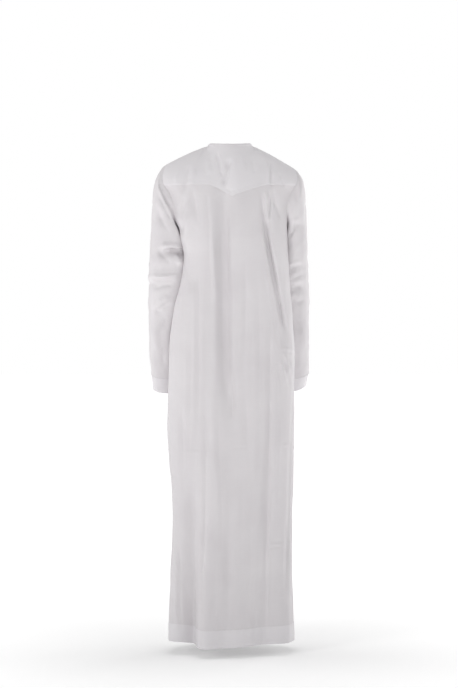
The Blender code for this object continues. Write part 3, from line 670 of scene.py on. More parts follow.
left_shoulder = even_columns(shoulder_curve(1, SHOULDER_LEFT_Z), COLUMNS_SHOULDER * FINER)
right_shoulder = even_columns(shoulder_curve(-1, SHOULDER_RIGHT_Z), COLUMNS_SHOULDER * FINER)
neck_back_line = even_columns(neck_curve(NECK_BACK, NECK_BACK_Z, 0, 180), COLUMNS_NECK_BACK * FINER)
yoke_top = np.concatenate([left_shoulder[:-1], neck_back_line, right_shoulder[::-1][1:]])
yoke_arrive = top_arrivals(COLUMNS_NECK_BACK * FINER, (0, -1, 0.15), (0, -0.5, 0.87))
yoke_form = hermite_rows(back_form[-1 - FINER], back_form[-1], yoke_top, yoke_arrive, ROWS_YOKE)

whole_back = np.concatenate([back_form, yoke_form])
whole_back_normals = grid_normals(whole_back, False)
back_creases = BACK_CREASES + POCKET_PUCKERS + (POCKET_BAR, POCKET_BAR_SHADOW) + YOKE_CREASES
back_moved = worn(whole_back, whole_back_normals, ("back", back_creases))
whole_back_shaped = whole_back + whole_back_normals * back_moved[..., None]

back_panel = cloth_sheet("back_panel_cloth", whole_back_shaped[:rows_back], False, main_cloth)
hand_in(back_panel, "back_panel")

yoke_normals = whole_back_normals[rows_back - 1:]
yoke_up = flat_lengths(whole_back[rows_back - 1:], False)[..., 1]
yoke_lift = YOKE_PROUD + TURN_UNDER_PROUD * (1 - smoothstep(*TURN_UNDER_FADE, yoke_up))
yoke_shaped = whole_back_shaped[rows_back - 1:] + yoke_normals * yoke_lift[..., None]
# The doubled pieces take the lighter colours, painted for less shade showing through from inside
band_cloth = plain_weave("doubled_cloth", BAND_COLOUR, BAND_SHADE)
back_yoke = cloth_sheet("back_yoke_cloth", yoke_shaped, False, band_cloth, thick=YOKE_THICK)
hand_in(back_yoke, "back_yoke")


# Front panel
# One length of the same cloth from the shoulder seams to the hem, hollowed at the neck. It isn't seen in
# the photograph, so its folds are like those of the back, and it hangs a little freer under the chest.

COLUMNS_NECK_FRONT = 16
ROWS_FRONT_TOP = 12
FRONT_CHEST_Z = -0.150
PLACKET_HALF_WIDTH = 0.014
FRONT_ARMHOLE = ((0, -0.235), (8, -0.226), (16, -0.213), (24, -0.197), (30, -0.178), (33, -0.158),
                 (33, -0.137))

FRONT_CREASES = (
    (((-112, -96), (-104, -140), (-99, -190), (-101, -240)), 6, 5, -2.1),
    (((-101, -100), (-94, -145), (-91, -200)), 6, 6, 1.3),
    (((121, -108), (110, -160), (103, -220), (105, -300)), 9, 7, -1.9),
    (((104, -120), (97, -180), (93, -262)), 9, 10, 1.1),
    (((-132, -128), (-118, -190), (-112, -262), (-116, -330)), 6, 7, -1.9),
    (((140, -130), (126, -196), (119, -268), (121, -340)), 7, 6, -1.8),
    (((60, -40), (54, -70), (44, -112)), 7, 6, -1.1),
    (((-58, -42), (-52, -76), (-42, -120)), 6, 7, -1.2),
    (((62, -270), (66, -420), (70, -600), (74, -820), (80, -1080), (84, -1345)), 7, 12, -2.4),
    (((48, -290), (50, -450), (53, -640), (57, -860), (62, -1100), (66, -1345)), 10, 8, 1.9),
    (((-40, -310), (-44, -470), (-50, -660), (-56, -880), (-60, -1120), (-63, -1345)), 8, 10, 1.7),
    (((-57, -300), (-60, -470), (-67, -680), (-74, -900), (-79, -1130), (-82, -1345)), 12, 6, -2.3),
    (((26, -390), (22, -560), (25, -760), (20, -960)), 8, 9, 1.1),
    (((8, -420), (4, -600), (8, -800), (5, -1010), (9, -1230)), 10, 10, -1.6),
    (((-18, -380), (-22, -540), (-17, -720), (-21, -930)), 8, 9, 1.0),
    (((98, -360), (101, -520), (104, -700), (108, -900)), 8, 8, 1.1),
    (((-96, -340), (-98, -520), (-103, -720), (-106, -930)), 8, 8, -1.3),
    (((-116, -620), (-120, -820), (-124, -1040), (-126, -1300)), 6, 9, -1.8),
    (((118, -700), (124, -900), (128, -1120), (131, -1330)), 9, 6, -1.7),
    (((104, -960), (106, -1140), (109, -1330)), 8, 8, 1.2),
    (((-100, -940), (-102, -1120), (-104, -1330)), 8, 8, 1.2),
    (((34, -860), (38, -1040), (41, -1290)), 10, 10, -1.2),
    (((-34, -900), (-37, -1090), (-39, -1300)), 10, 10, -1.1),
    (((150, -846), (96, -851), (44, -848)), 2.2, 2.2, 0.8),
    (((24, -845), (-30, -842), (-74, -844)), 2.2, 2.2, -0.8),
    (((-98, -845), (-140, -842), (-172, -846)), 2.4, 2.4, 0.9),
    (((-148, -1110), (-84, -1106), (-30, -1109)), 2.4, 2.4, 0.9),
    (((60, -1112), (110, -1108), (160, -1111)), 2.2, 2.2, -0.9),
    (((34, -556), (74, -553), (120, -557)), 2.0, 2.0, 0.7),
)


def front_columns(curve, coarse):
    """Equal parts on each side of a strip of the placket's width in the middle of the curve."""
    total = lengths_along(curve)[-1]
    middle = distance_to(curve, 0.0)
    side = (coarse // 2 - 1) * FINER
    before = np.linspace(0, middle - PLACKET_HALF_WIDTH, side + 1)
    strip = np.linspace(middle - PLACKET_HALF_WIDTH, middle + PLACKET_HALF_WIDTH, 2 * FINER + 1)
    after = np.linspace(middle + PLACKET_HALF_WIDTH, total, side + 1)
    return spaced(curve, np.concatenate([before, strip[1:-1], after]))


def front_rows():
    """Rows of the front panel from the hem seam to the shoulder seams and the neck."""
    coarse = 2 * COLUMNS_SHOULDER + COLUMNS_NECK_FRONT
    rows = [front_columns(straight_row(z, 180, 360), coarse)
            for z in level_rows(HEM_BOTTOM + HEM_TALL, UNDERARM)]
    for rising, angle, height in armhole_steps(FRONT_ARMHOLE):
        heights = np.full(ROW_POINTS, UNDERARM + (FRONT_CHEST_Z - UNDERARM) * rising)
        rows.append(front_columns(bent_row(angle, height, heights, 180, 360), coarse))
    neck = front_columns(neck_curve(NECK_FRONT, NECK_FRONT_Z, 180, 360), COLUMNS_NECK_FRONT)
    top = np.concatenate([right_shoulder[:-1], neck, left_shoulder[::-1][1:]])
    arrive = top_arrivals(COLUMNS_NECK_FRONT * FINER, (0, 1, 0.2), (0, 0.25, 0.97))
    rows += hermite_rows(rows[-1 - FINER], rows[-1], top, arrive, ROWS_FRONT_TOP * FINER)
    return np.array(rows)


front_form = front_rows()
front_normals = grid_normals(front_form, False)
front_moved = worn(front_form, front_normals, ("front", FRONT_CREASES))
front_shaped = front_form + front_normals * front_moved[..., None]
front_panel = cloth_sheet("front_panel_cloth", front_shaped, False, main_cloth)
hand_in(front_panel, "front_panel")


# Placket
# A doubled strip on the middle of the front, stitched along both edges, that covers the slit below the
# neck. Its lower end is closed with a box of stitches.

PLACKET_BOTTOM = -0.36
CLOTH_WALL = 0.0016
DOUBLED_WALL = 0.0024
SEAM_GAP = 0.0003
PLACKET_THICK = 0.0012
PLACKET_EDGE = 0.0011

middle_column = front_form.shape[1] // 2
strip_columns = slice(middle_column - FINER, middle_column + FINER + 1)
strip_rows = front_form[:, middle_column, 2] >= PLACKET_BOTTOM - BODY_ROW / 2
strip_form = front_shaped[strip_rows, strip_columns]
strip_normals = front_normals[strip_rows, strip_columns]
strip_lift = (CLOTH_WALL + SEAM_GAP + DOUBLED_WALL) / 2 + PLACKET_EDGE / 2
placket_shaped = strip_form + strip_normals * strip_lift
placket = cloth_sheet("placket_cloth", placket_shaped, False, band_cloth, thick=PLACKET_THICK)
hand_in(placket, "placket")


# Buttons
# Four small off-white buttons, turned with a dished face and sewn through four holes. Each is a
# disc that is inset, sunk and rounded, with the holes cut through it.

BUTTON_RADIUS = 0.0055
BUTTON_THICK = 0.0024
BUTTON_RIM = 0.0013
BUTTON_DISH = 0.0007
BUTTON_HOLE = 0.00055
BUTTON_HOLE_OUT = 0.0014
BUTTON_HOLES = 4
BUTTON_BEVEL = 0.0004
BUTTON_CLEAR = 0.0002
BUTTON_COLOUR = (0.80, 0.79, 0.75)
BUTTON_SHADE = (0.68, 0.66, 0.60)


def two_tones(tree, shader, pattern, low, high):
    """Colour a shader between two tones by a pattern laid over the piece."""
    place = tree.nodes.new("ShaderNodeTexCoord")
    ramp = tree.nodes.new("ShaderNodeValToRGB")
    for element, colour in zip(ramp.color_ramp.elements, (low, high)):
        element.color = (*colour, 1)
    tree.links.new(place.outputs["Object"], pattern.inputs["Vector"])
    tree.links.new(pattern.outputs["Fac"], ramp.inputs["Fac"])
    tree.links.new(ramp.outputs["Color"], shader.inputs["Base Color"])


def button_plastic():
    """Off-white polyester with faint cloudy bands and a soft gloss."""
    material, tree, shader = node_material("button_plastic")
    cloud = tree.nodes.new("ShaderNodeTexNoise")
    set_inputs(cloud, Scale=420.0, Detail=3.0)
    two_tones(tree, shader, cloud, BUTTON_SHADE, BUTTON_COLOUR)
    set_inputs(shader, Roughness=0.28, Coat_Weight=0.3)
    return material


def turned_button(name, place, direction):
    """A button with its back at a place and its face in a direction."""
    turn = Vector(direction).to_track_quat("Z", "Y")
    bpy.ops.object.select_all(action="DESELECT")
    bpy.ops.mesh.primitive_cylinder_add(vertices=40, radius=BUTTON_RADIUS, depth=BUTTON_THICK)
    button = bpy.context.object
    button.name = button.data.name = name
    bpy.ops.object.mode_set(mode="EDIT")
    shaper = bmesh.from_edit_mesh(button.data)
    for face in shaper.faces:
        face.select = face.normal.z > 0.9
    bmesh.update_edit_mesh(button.data)
    bpy.ops.mesh.inset(thickness=BUTTON_RIM, depth=0)
    bpy.ops.mesh.inset(thickness=BUTTON_DISH, depth=-BUTTON_DISH)
    bpy.ops.mesh.select_all(action="DESELECT")
    shaper = bmesh.from_edit_mesh(button.data)
    for edge in shaper.edges:
        rim = all(vert.co.xy.length > BUTTON_RADIUS - BUTTON_RIM - 1e-5 for vert in edge.verts)
        level = abs(edge.verts[0].co.z - edge.verts[1].co.z) < 1e-6
        edge.select = rim and level
    bmesh.update_edit_mesh(button.data)
    bpy.ops.mesh.bevel(offset=BUTTON_BEVEL, segments=3)
    bpy.ops.object.mode_set(mode="OBJECT")
    for number in range(BUTTON_HOLES):
        angle = math.tau * (number + 0.5) / BUTTON_HOLES
        spot = (BUTTON_HOLE_OUT * math.cos(angle), BUTTON_HOLE_OUT * math.sin(angle), 0)
        bpy.ops.mesh.primitive_cylinder_add(vertices=16, radius=BUTTON_HOLE, depth=0.01, location=spot)
        drill = bpy.context.object
        only(button)
        hole = button.modifiers.new("hole", "BOOLEAN")
        hole.object = drill
        hole.operation = "DIFFERENCE"
        bpy.ops.object.modifier_apply(modifier=hole.name)
        bpy.data.objects.remove(drill)
    only(button)
    button.rotation_mode = "QUATERNION"
    button.rotation_quaternion = turn
    button.location = Vector(place) + Vector(direction) * BUTTON_THICK / 2
    bpy.ops.object.transform_apply(location=True, rotation=True, scale=True)
    bpy.ops.object.shade_smooth_by_angle(angle=math.radians(40))
    return button


plastic = button_plastic()
button_seats = {}
for number in range(1, 5):
    low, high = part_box(f"button_{number}")
    button_z = (low.z + high.z) / 2
    row = int(np.argmin(np.abs(strip_form[:, FINER, 2] - button_z)))
    outwards = strip_normals[row, FINER]
    seat = placket_shaped[row, FINER] + outwards * BUTTON_CLEAR
    button_seats[number] = (seat, outwards)
    button = turned_button(f"button_{number}_turned", seat, outwards)
    button.data.materials.append(plastic)
    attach(button, "root")
    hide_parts(f"button_{number}")


# Neckband
# A narrow doubled band round the collarless neck, folded over the raw edge and stitched. It leans in
# over the opening, and is lowest at the front.

NECK_BAND_TALL = 0.008
NECK_BAND_LEAN = 0.90
NECK_BAND_ROWS = 8
NECK_BAND_PROUD = 0.0007
NECK_BAND_ROUND = 0.0005
NECK_BAND_THICK = 0.0018
NECK_BAND_START = -0.06
NECK_BAND_RIPPLES = (0.012, 0.02, 0.0005)

shoulder_fine = COLUMNS_SHOULDER * FINER
neck_low = np.concatenate([yoke_shaped[-1, shoulder_fine:-shoulder_fine],
                           front_shaped[-1, shoulder_fine:-shoulder_fine][1:-1]])
inwards = np.array([0.0, (NECK_BACK + NECK_FRONT) / 2, 0.0]) - neck_low
inwards[:, 2] = 0
neck_rise = unit(unit(inwards) * NECK_BAND_LEAN + np.array([0.0, 0.0, 1.0])) * NECK_BAND_TALL
band_share = np.linspace(NECK_BAND_START, 1, NECK_BAND_ROWS + 1)
neck_form = neck_low + neck_rise * band_share[:, None, None]
neck_normals = grid_normals(neck_form, True)
neck_round = NECK_BAND_PROUD + NECK_BAND_ROUND * np.sin(math.pi * np.clip(band_share, 0, 1))
neck_form = neck_form + neck_normals * neck_round[:, None, None]
neck_form = neck_form + neck_normals * rippled(neck_form, *NECK_BAND_RIPPLES)[..., None]
neck_band = cloth_sheet("neck_band_cloth", neck_form, True, band_cloth, thick=NECK_BAND_THICK)
hand_in(neck_band, "neck_band")


# Sleeves
# Two long set-in sleeves, each one piece of cloth closed by a seam on its inner side. They hang a little
# forwards, so the cloth piles up where they bend and drags from the shoulder to the underarm.

# Sections of a sleeve: its outer edge across and up, its inner edge across and up, its middle from front
# to back, half its depth, its lean in degrees, and how far its back swings sideways
SLEEVE_LEFT = (
    (0.211, -0.100, 0.1425, -0.241, -0.006, 0.070, 0, 0.0),
    (0.223, -0.255, 0.1305, -0.276, -0.010, 0.066, 0, 0.0),
    (0.227, -0.322, 0.125, -0.334, -0.014, 0.063, 3, 0.0),
    (0.2295, -0.390, 0.138, -0.395, -0.023, 0.059, 8, 0.0),
    (0.230, -0.455, 0.155, -0.465, -0.042, 0.057, 16, 0.0),
    (0.230, -0.525, 0.162, -0.535, -0.066, 0.053, 21, 0.004),
    (0.227, -0.585, 0.160, -0.595, -0.086, 0.048, 22, 0.008),
    (0.220, -0.630, 0.154, -0.640, -0.101, 0.044, 22, 0.012),
)
CUFF_LEFT_END = (0.2155, -0.672, 0.150, -0.682, -0.117, 0.042, 22, 0.014)
SLEEVE_RIGHT = (
    (0.207, -0.106, 0.160, -0.238, -0.008, 0.069, 0, 0.0),
    (0.217, -0.255, 0.160, -0.271, -0.014, 0.066, 0, 0.0),
    (0.219, -0.325, 0.158, -0.332, -0.019, 0.063, 4, 0.0),
    (0.223, -0.390, 0.159, -0.396, -0.034, 0.057, 10, 0.0),
    (0.224, -0.455, 0.162, -0.465, -0.052, 0.055, 17, 0.0),
    (0.2245, -0.525, 0.161, -0.535, -0.068, 0.053, 21, 0.0),
    (0.2255, -0.585, 0.159, -0.595, -0.087, 0.048, 22, 0.0),
    (0.2250, -0.630, 0.154, -0.640, -0.101, 0.044, 22, 0.0),
)
CUFF_RIGHT_END = (0.219, -0.664, 0.150, -0.680, -0.116, 0.042, 22, 0.0)
SLEEVE_STEPS = (4, 3, 3, 3, 3, 2, 2, 2)
SLEEVE_FINER = 7
SLEEVE_SQUARE = 2.5
SLEEVE_RIPPLES = (0.022, 0.05, 0.0013)
SLEEVE_RIPPLES_FINE = (0.010, 0.020, 0.0005)
SLEEVE_FRONT_SHARE = 0.7
FOLDS_FROM_RINGS = 1.5 * SLEEVE_FINER
CREASES_FROM_SHARE = 0.035

# Broad folds: height of the middle, angle round the sleeve (0 is the back, 90 the outside), half
# height, half spread in degrees, and how far it stands out
SLEEVE_FOLDS_LEFT = (
    (-0.298, -40, 0.012, 45, -0.009),
    (-0.322, -30, 0.014, 50, 0.005),
    (-0.365, 40, 0.010, 60, 0.003),
    (-0.385, 20, 0.013, 60, -0.004),
    (-0.480, 10, 0.022, 50, -0.004),
    (-0.200, 20, 0.016, 30, -0.004),
    (-0.390, -52, 0.130, 34, 0.014),
    (-0.570, -55, 0.080, 30, 0.010),
    (-0.240, -60, 0.045, 26, 0.011),
)
SLEEVE_FOLDS_RIGHT = (
    (-0.345, 0, 0.013, 50, -0.003),
    (-0.372, -10, 0.013, 50, 0.0025),
    (-0.398, -20, 0.013, 55, -0.0035),
    (-0.225, 10, 0.016, 35, -0.004),
    (-0.500, 20, 0.022, 50, -0.003),
    (-0.400, -52, 0.150, 34, 0.014),
    (-0.580, -55, 0.080, 30, 0.008),
    (-0.240, -60, 0.045, 26, 0.010),
)

# Creases in millimetres, seen from the back and the front as on the body
SLEEVE_CREASES_BACK = (
    (((200, -96), (190, -120), (176, -152), (160, -182)), 6, 6, -2.6),
    (((206, -122), (194, -150), (178, -186), (160, -214)), 7, 5, -2.4),
    (((176, -66), (168, -84), (156, -104), (150, -128)), 5, 4, 2.2),
    (((212, -158), (200, -186), (184, -222), (164, -250)), 7, 6, -1.6),
    (((196, -150), (184, -184), (168, -214)), 6, 7, 1.5),
    (((196, -276), (182, -282), (166, -280), (146, -284), (128, -286)), 5, 9, 4.2),
    (((192, -296), (172, -293), (154, -291), (136, -292), (126, -295)), 7, 3.5, -6.0),
    (((206, -286), (192, -300), (176, -318), (160, -334)), 8, 7, -2.4),
    (((156, -300), (144, -318), (132, -338)), 7, 7, 2.4),
    (((222, -362), (204, -365), (184, -366), (158, -362), (140, -366)), 3.0, 3.0, 2.0),
    (((220, -372), (200, -375), (178, -377), (152, -374)), 4, 4, -2.2),
    (((214, -400), (196, -394), (176, -388), (154, -390)), 5, 7, -1.5),
    (((160, -434), (180, -446), (200, -458), (222, -470)), 6, 9, -2.6),
    (((166, -420), (184, -430), (206, -442)), 7, 6, 1.6),
    (((222, -452), (206, -460), (188, -470)), 7, 6, -1.7),
    (((170, -480), (186, -500), (200, -530)), 8, 8, -1.3),
    (((216, -500), (208, -540), (204, -584)), 8, 8, 1.1),
    (((186, -560), (190, -596), (188, -626)), 7, 7, -1.2),
    (((-193, -208), (-182, -228), (-168, -250), (-160, -262)), 6, 5, -2.6),
    (((-204, -160), (-192, -186), (-176, -214)), 7, 7, -1.4),
    (((-166, -70), (-182, -92), (-196, -122)), 6, 5, 1.8),
    (((-158, -84), (-170, -110), (-184, -142), (-190, -170)), 6, 6, -1.6),
    (((-206, -262), (-192, -276), (-178, -300)), 6, 6, 1.2),
    (((-164, -348), (-178, -340), (-192, -334), (-206, -331)), 4, 5, -1.9),
    (((-162, -336), (-178, -328), (-198, -322)), 5, 4, 1.1),
    (((-166, -374), (-182, -370), (-198, -362), (-212, -360)), 4, 4, -1.8),
    (((-164, -362), (-180, -356), (-200, -346), (-214, -345)), 5, 4, 1.3),
    (((-162, -386), (-178, -394), (-192, -396), (-204, -392)), 5, 6, -2.0),
    (((-170, -380), (-188, -382), (-208, -376)), 4, 4, 1.2),
    (((-168, -410), (-186, -420), (-204, -428)), 6, 7, 1.3),
    (((-170, -430), (-190, -436), (-214, -430)), 7, 9, -2.0),
    (((-176, -466), (-192, -490), (-204, -520)), 7, 7, -1.2),
    (((-214, -470), (-208, -520), (-210, -570)), 7, 7, 1.0),
    (((-184, -560), (-186, -600), (-182, -624)), 7, 7, -1.1),
)
SLEEVE_CREASES_FRONT = (
    (((196, -90), (186, -124), (170, -156), (158, -184)), 6, 6, -2.4),
    (((206, -130), (194, -164), (176, -200), (158, -226)), 6, 6, -2.2),
    (((198, -146), (184, -180), (168, -210)), 6, 6, 1.5),
    (((210, -250), (190, -262), (168, -272)), 6, 7, -1.8),
    (((210, -310), (194, -324), (172, -332), (150, -328)), 6, 5, -3.2),
    (((200, -302), (184, -312), (162, -316)), 6, 6, 1.9),
    (((190, -344), (172, -352), (150, -352)), 6, 6, 2.0),
    (((218, -356), (200, -366), (180, -378), (160, -384)), 6, 7, -2.5),
    (((218, -400), (198, -408), (176, -420), (160, -436)), 7, 6, -2.0),
    (((216, -440), (196, -456), (174, -476)), 7, 7, 1.4),
    (((214, -500), (200, -520), (182, -548)), 7, 7, -1.4),
    (((-194, -92), (-184, -126), (-172, -158), (-162, -186)), 6, 6, -2.3),
    (((-204, -136), (-192, -168), (-176, -202), (-164, -228)), 6, 6, -2.1),
    (((-196, -150), (-184, -182), (-170, -212)), 6, 6, 1.4),
    (((-206, -256), (-190, -266), (-172, -276)), 6, 6, -1.7),
    (((-206, -322), (-190, -336), (-172, -343), (-162, -340)), 6, 5, -3.0),
    (((-196, -314), (-180, -324), (-166, -326)), 6, 6, 1.8),
    (((-200, -354), (-184, -362), (-168, -364)), 6, 6, 1.8),
    (((-214, -370), (-196, -381), (-178, -392)), 6, 7, -2.4),
    (((-214, -414), (-196, -424), (-178, -438)), 7, 6, -1.9),
    (((-212, -456), (-196, -474), (-180, -496)), 7, 7, 1.3),
    (((-210, -516), (-198, -540), (-186, -566)), 7, 7, -1.3),
)
SLEEVE_CREASES_OUTSIDE = (
    (((-40, -130), (-20, -150), (10, -170), (36, -176)), 7, 6, -1.6),
    (((-46, -292), (-24, -308), (4, -316)), 6, 7, -1.6),
    (((-40, -324), (-12, -332), (22, -326)), 6, 7, 1.1),
    (((-70, -352), (-44, -366), (-14, -382), (10, -386)), 6, 7, -1.5),
    (((-76, -404), (-50, -424), (-24, -448)), 8, 7, 1.1),
    (((-92, -470), (-64, -486), (-36, -500)), 7, 7, -1.5),
    (((-104, -540), (-84, -560), (-60, -580)), 7, 7, 1.0),
)


def sleeve_ring(side, section, turns):
    """Points round one section of a sleeve, at turns from the back towards the outside."""
    out_x, out_z, in_x, in_z, y, depth, lean, swing = section
    middle = np.array([(out_x + in_x) / 2, y, (out_z + in_z) / 2])
    outwards = np.array([(out_x - in_x) / 2, 0, (out_z - in_z) / 2])
    lean = math.radians(lean)
    backwards = np.array([swing, depth * math.cos(lean), -depth * math.sin(lean)])
    sine = signed_power(np.sin(turns), 2 / SLEEVE_SQUARE)
    cosine = signed_power(np.cos(turns), 2 / SLEEVE_SQUARE)
    ring = middle + np.outer(sine, outwards) + np.outer(cosine, backwards)
    return ring * np.array([side, 1, 1])


def with_broad_folds(ring, turns, folds):
    """A sleeve's ring, moved in and out where its broad folds are."""
    away = unit(ring - ring.mean(axis=0))
    moved = np.zeros(len(ring))
    for height, angle, half_height, spread, out in folds:
        apart = np.degrees(np.angle(np.exp(1j * (turns - math.radians(angle)))))
        moved += out * np.exp(-((ring[:, 2] - height) / half_height) ** 2 - (apart / spread) ** 2)
    return ring + away * moved[:, None]


def sleeve_rings(side, armhole, sections, end_section, folds):
    """Rings of a sleeve from the armhole to the cuff seam, and the last ring of the cuff."""
    middle_z = (armhole[:, 2].max() + armhole[:, 2].min()) / 2
    half_tall = (armhole[:, 2].max() - armhole[:, 2].min()) / 2
    half_deep = (armhole[:, 1].max() - armhole[:, 1].min()) / 2
    turns = np.arctan2((armhole[:, 2] - middle_z) / half_tall, armhole[:, 1] / half_deep)
    stations = [armhole] + [sleeve_ring(side, section, turns) for section in sections]
    cuff_end = sleeve_ring(side, end_section, turns)
    stations.append(cuff_end)
    steep = 0.05 + 0.225 * (1 + np.sin(turns))
    leave = unit(np.stack([np.full(len(turns), float(side)), np.zeros(len(turns)), -steep], axis=1))
    chords = [np.linalg.norm(b - a, axis=1, keepdims=True) for a, b in zip(stations, stations[1:])]
    speeds = [leave]
    for before, here, after, one, two in zip(stations, stations[1:], stations[2:], chords, chords[1:]):
        speeds.append((after - before) / (one + two))
    rings = [armhole]
    for i, steps in enumerate(SLEEVE_STEPS):
        first, last, chord = stations[i], stations[i + 1], chords[i]
        for t in np.linspace(0, 1, steps * SLEEVE_FINER + 1)[1:]:
            ring = hermite(t, first, last, chord * speeds[i], chord * speeds[i + 1])
            free = min(1.0, len(rings) / FOLDS_FROM_RINGS)
            rings.append(with_broad_folds(ring, turns, folds) * free + ring * (1 - free))
    return np.array(rings), cuff_end


def sleeve_worn(points, normals, side):
    """How far a sleeve's cloth moves in and out."""
    moved = creased(points, normals, "back", SLEEVE_CREASES_BACK)
    moved += SLEEVE_FRONT_SHARE * creased(points, normals, "front", SLEEVE_CREASES_FRONT)
    moved += creased(points, normals, side, SLEEVE_CREASES_OUTSIDE)
    return moved + rippled(points, *SLEEVE_RIPPLES) + rippled(points, *SLEEVE_RIPPLES_FINE)


underarm_row = len(level_rows(HEM_BOTTOM + HEM_TALL, UNDERARM)) - 1
sleeve_sizes = {
    "left": (1, 0, -1, SLEEVE_LEFT, CUFF_LEFT_END, SLEEVE_FOLDS_LEFT),
    "right": (-1, -1, 0, SLEEVE_RIGHT, CUFF_RIGHT_END, SLEEVE_FOLDS_RIGHT),
}
sleeve_grids, sleeve_normals, cuff_ends = {}, {}, {}
for side, (sign, back_edge, front_edge, sections, cuff_section, folds) in sleeve_sizes.items():
    armhole = np.concatenate([whole_back_shaped[underarm_row:, back_edge],
                              front_shaped[underarm_row:, front_edge][::-1][1:-1]])
    rings, cuff_ends[side] = sleeve_rings(sign, armhole, sections, cuff_section, folds)
    normals = grid_normals(rings, True, flip=sign)
    along = np.linspace(0, 1, len(rings))[:, None]
    free = smoothstep(0.0, CREASES_FROM_SHARE, along)
    shaped = rings + normals * (sleeve_worn(rings, normals, side) * free)[..., None]
    sleeve_grids[side], sleeve_normals[side] = shaped, normals
    sleeve = cloth_sheet(f"sleeve_{side}_cloth", shaped, True, main_cloth, flip=sign)
    hand_in(sleeve, f"sleeve_{side}")


# Cuffs
# The plain ends of the sleeves: doubled bands without an opening, stitched at their upper edge. They
# are crisper than the sleeve, and their ends are a little out of round.

CUFF_ROWS = 14
CUFF_PROUD = 0.0006
CUFF_THICK = 0.0017
CUFF_RIPPLES = (0.020, 0.030, 0.0012)

cuff_grids, cuff_normals = {}, {}
for side, (sign, *_) in sleeve_sizes.items():
    top_ring = sleeve_grids[side][-1]
    share = np.linspace(0, 1, CUFF_ROWS + 1)[:, None, None]
    rings = top_ring * (1 - share) + cuff_ends[side] * share
    normals = grid_normals(rings, True, flip=sign)
    moved = CUFF_PROUD + rippled(rings, *CUFF_RIPPLES) * share[..., 0]
    rings = rings + normals * moved[..., None]
    cuff_grids[side], cuff_normals[side] = rings, normals
    cuff = cloth_sheet(f"cuff_{side}_cloth", rings, True, band_cloth, thick=CUFF_THICK, flip=sign)
    hand_in(cuff, f"cuff_{side}")


# Hem band
# The bottom of the robe, turned up into a doubled band and stitched at its upper edge. It follows the
# folds of the panels, and a few of its own ripples show along the edge.

HEM_PROUD = 0.0006
HEM_THICK = 0.0018

hem_heights = level_rows(HEM_BOTTOM, HEM_BOTTOM + HEM_TALL)
columns_back = back_form.shape[1] - 1
columns_front = 2 * COLUMNS_SHOULDER + COLUMNS_NECK_FRONT
hem_back = np.array([back_columns(straight_row(z, 0, 180), columns_back) for z in hem_heights])
hem_front = np.array([front_columns(straight_row(z, 180, 360), columns_front) for z in hem_heights])
hem_form = np.concatenate([hem_back, hem_front[:, 1:-1]], axis=1)
hem_normals = grid_normals(hem_form, True)
panel_moved = worn(hem_form, hem_normals, ("back", BACK_CREASES), ("front", FRONT_CREASES))
hem_shaped = hem_form + hem_normals * (panel_moved + HEM_PROUD)[..., None]
hem_band = cloth_sheet("hem_band_cloth", hem_shaped, True, band_cloth, thick=HEM_THICK)
hand_in(hem_band, "hem_band")


# Stitching
# Rows of white lockstitch that hold the doubled pieces down: along the yoke's seams, the neckband, the
# placket with its closing box, the tops and ends of the cuffs, and the hem. Each button has two strands.

STITCH_PITCH = 0.0032
STITCH_LONG = 0.0024
THREAD_ROUND = 0.00024
STITCH_SIDES = 6

# Rings of a stitch: share of its length, share of its roundness, and lift
STITCH_RINGS = ((0.0, 0.5, -0.8), (0.2, 1.0, 0.3), (0.8, 1.0, 0.3), (1.0, 0.5, -0.8))

SEAM_INSET = 0.0022
THREAD_COLOUR = (0.80, 0.78, 0.80)
THREAD_SHADE = (0.66, 0.64, 0.66)
NECK_BAND_SEAM = 0.0016
CUFF_SEAMS = (SEAM_INSET, HEM_TALL - 2 * SEAM_INSET)
BOX_TALL = 0.030
BOX_ROW_SHARE = 0.45
PLACKET_SEAM_SHARE = 0.07
STRAND_HALF_LONG = 0.00125
STRAND_OUT = 0.00099
STRAND_ROUND = 0.0004


def sewing_thread():
    """Bright cotton-wrapped polyester thread with the fine diagonal lines of its twist."""
    material, tree, shader = node_material("sewing_thread")
    twist = tree.nodes.new("ShaderNodeTexWave")
    twist.bands_direction = "DIAGONAL"
    set_inputs(twist, Scale=900.0, Distortion=1.5)
    two_tones(tree, shader, twist, THREAD_SHADE, THREAD_COLOUR)
    set_inputs(shader, Roughness=0.55, Sheen_Weight=0.2)
    return material


def stitches_along(points, normals):
    """Both ends and the outward direction of each stitch of a row along a line on the cloth."""
    lengths = lengths_along(points)
    found = []
    for start in np.arange(STITCH_PITCH / 2, lengths[-1] - STITCH_LONG, STITCH_PITCH):
        first, last = spaced(points, [start, start + STITCH_LONG])
        out = np.array([np.interp(start + STITCH_LONG / 2, lengths, normals[:, axis]) for axis in range(3)])
        found.append((first, last, unit(out)))
    return found


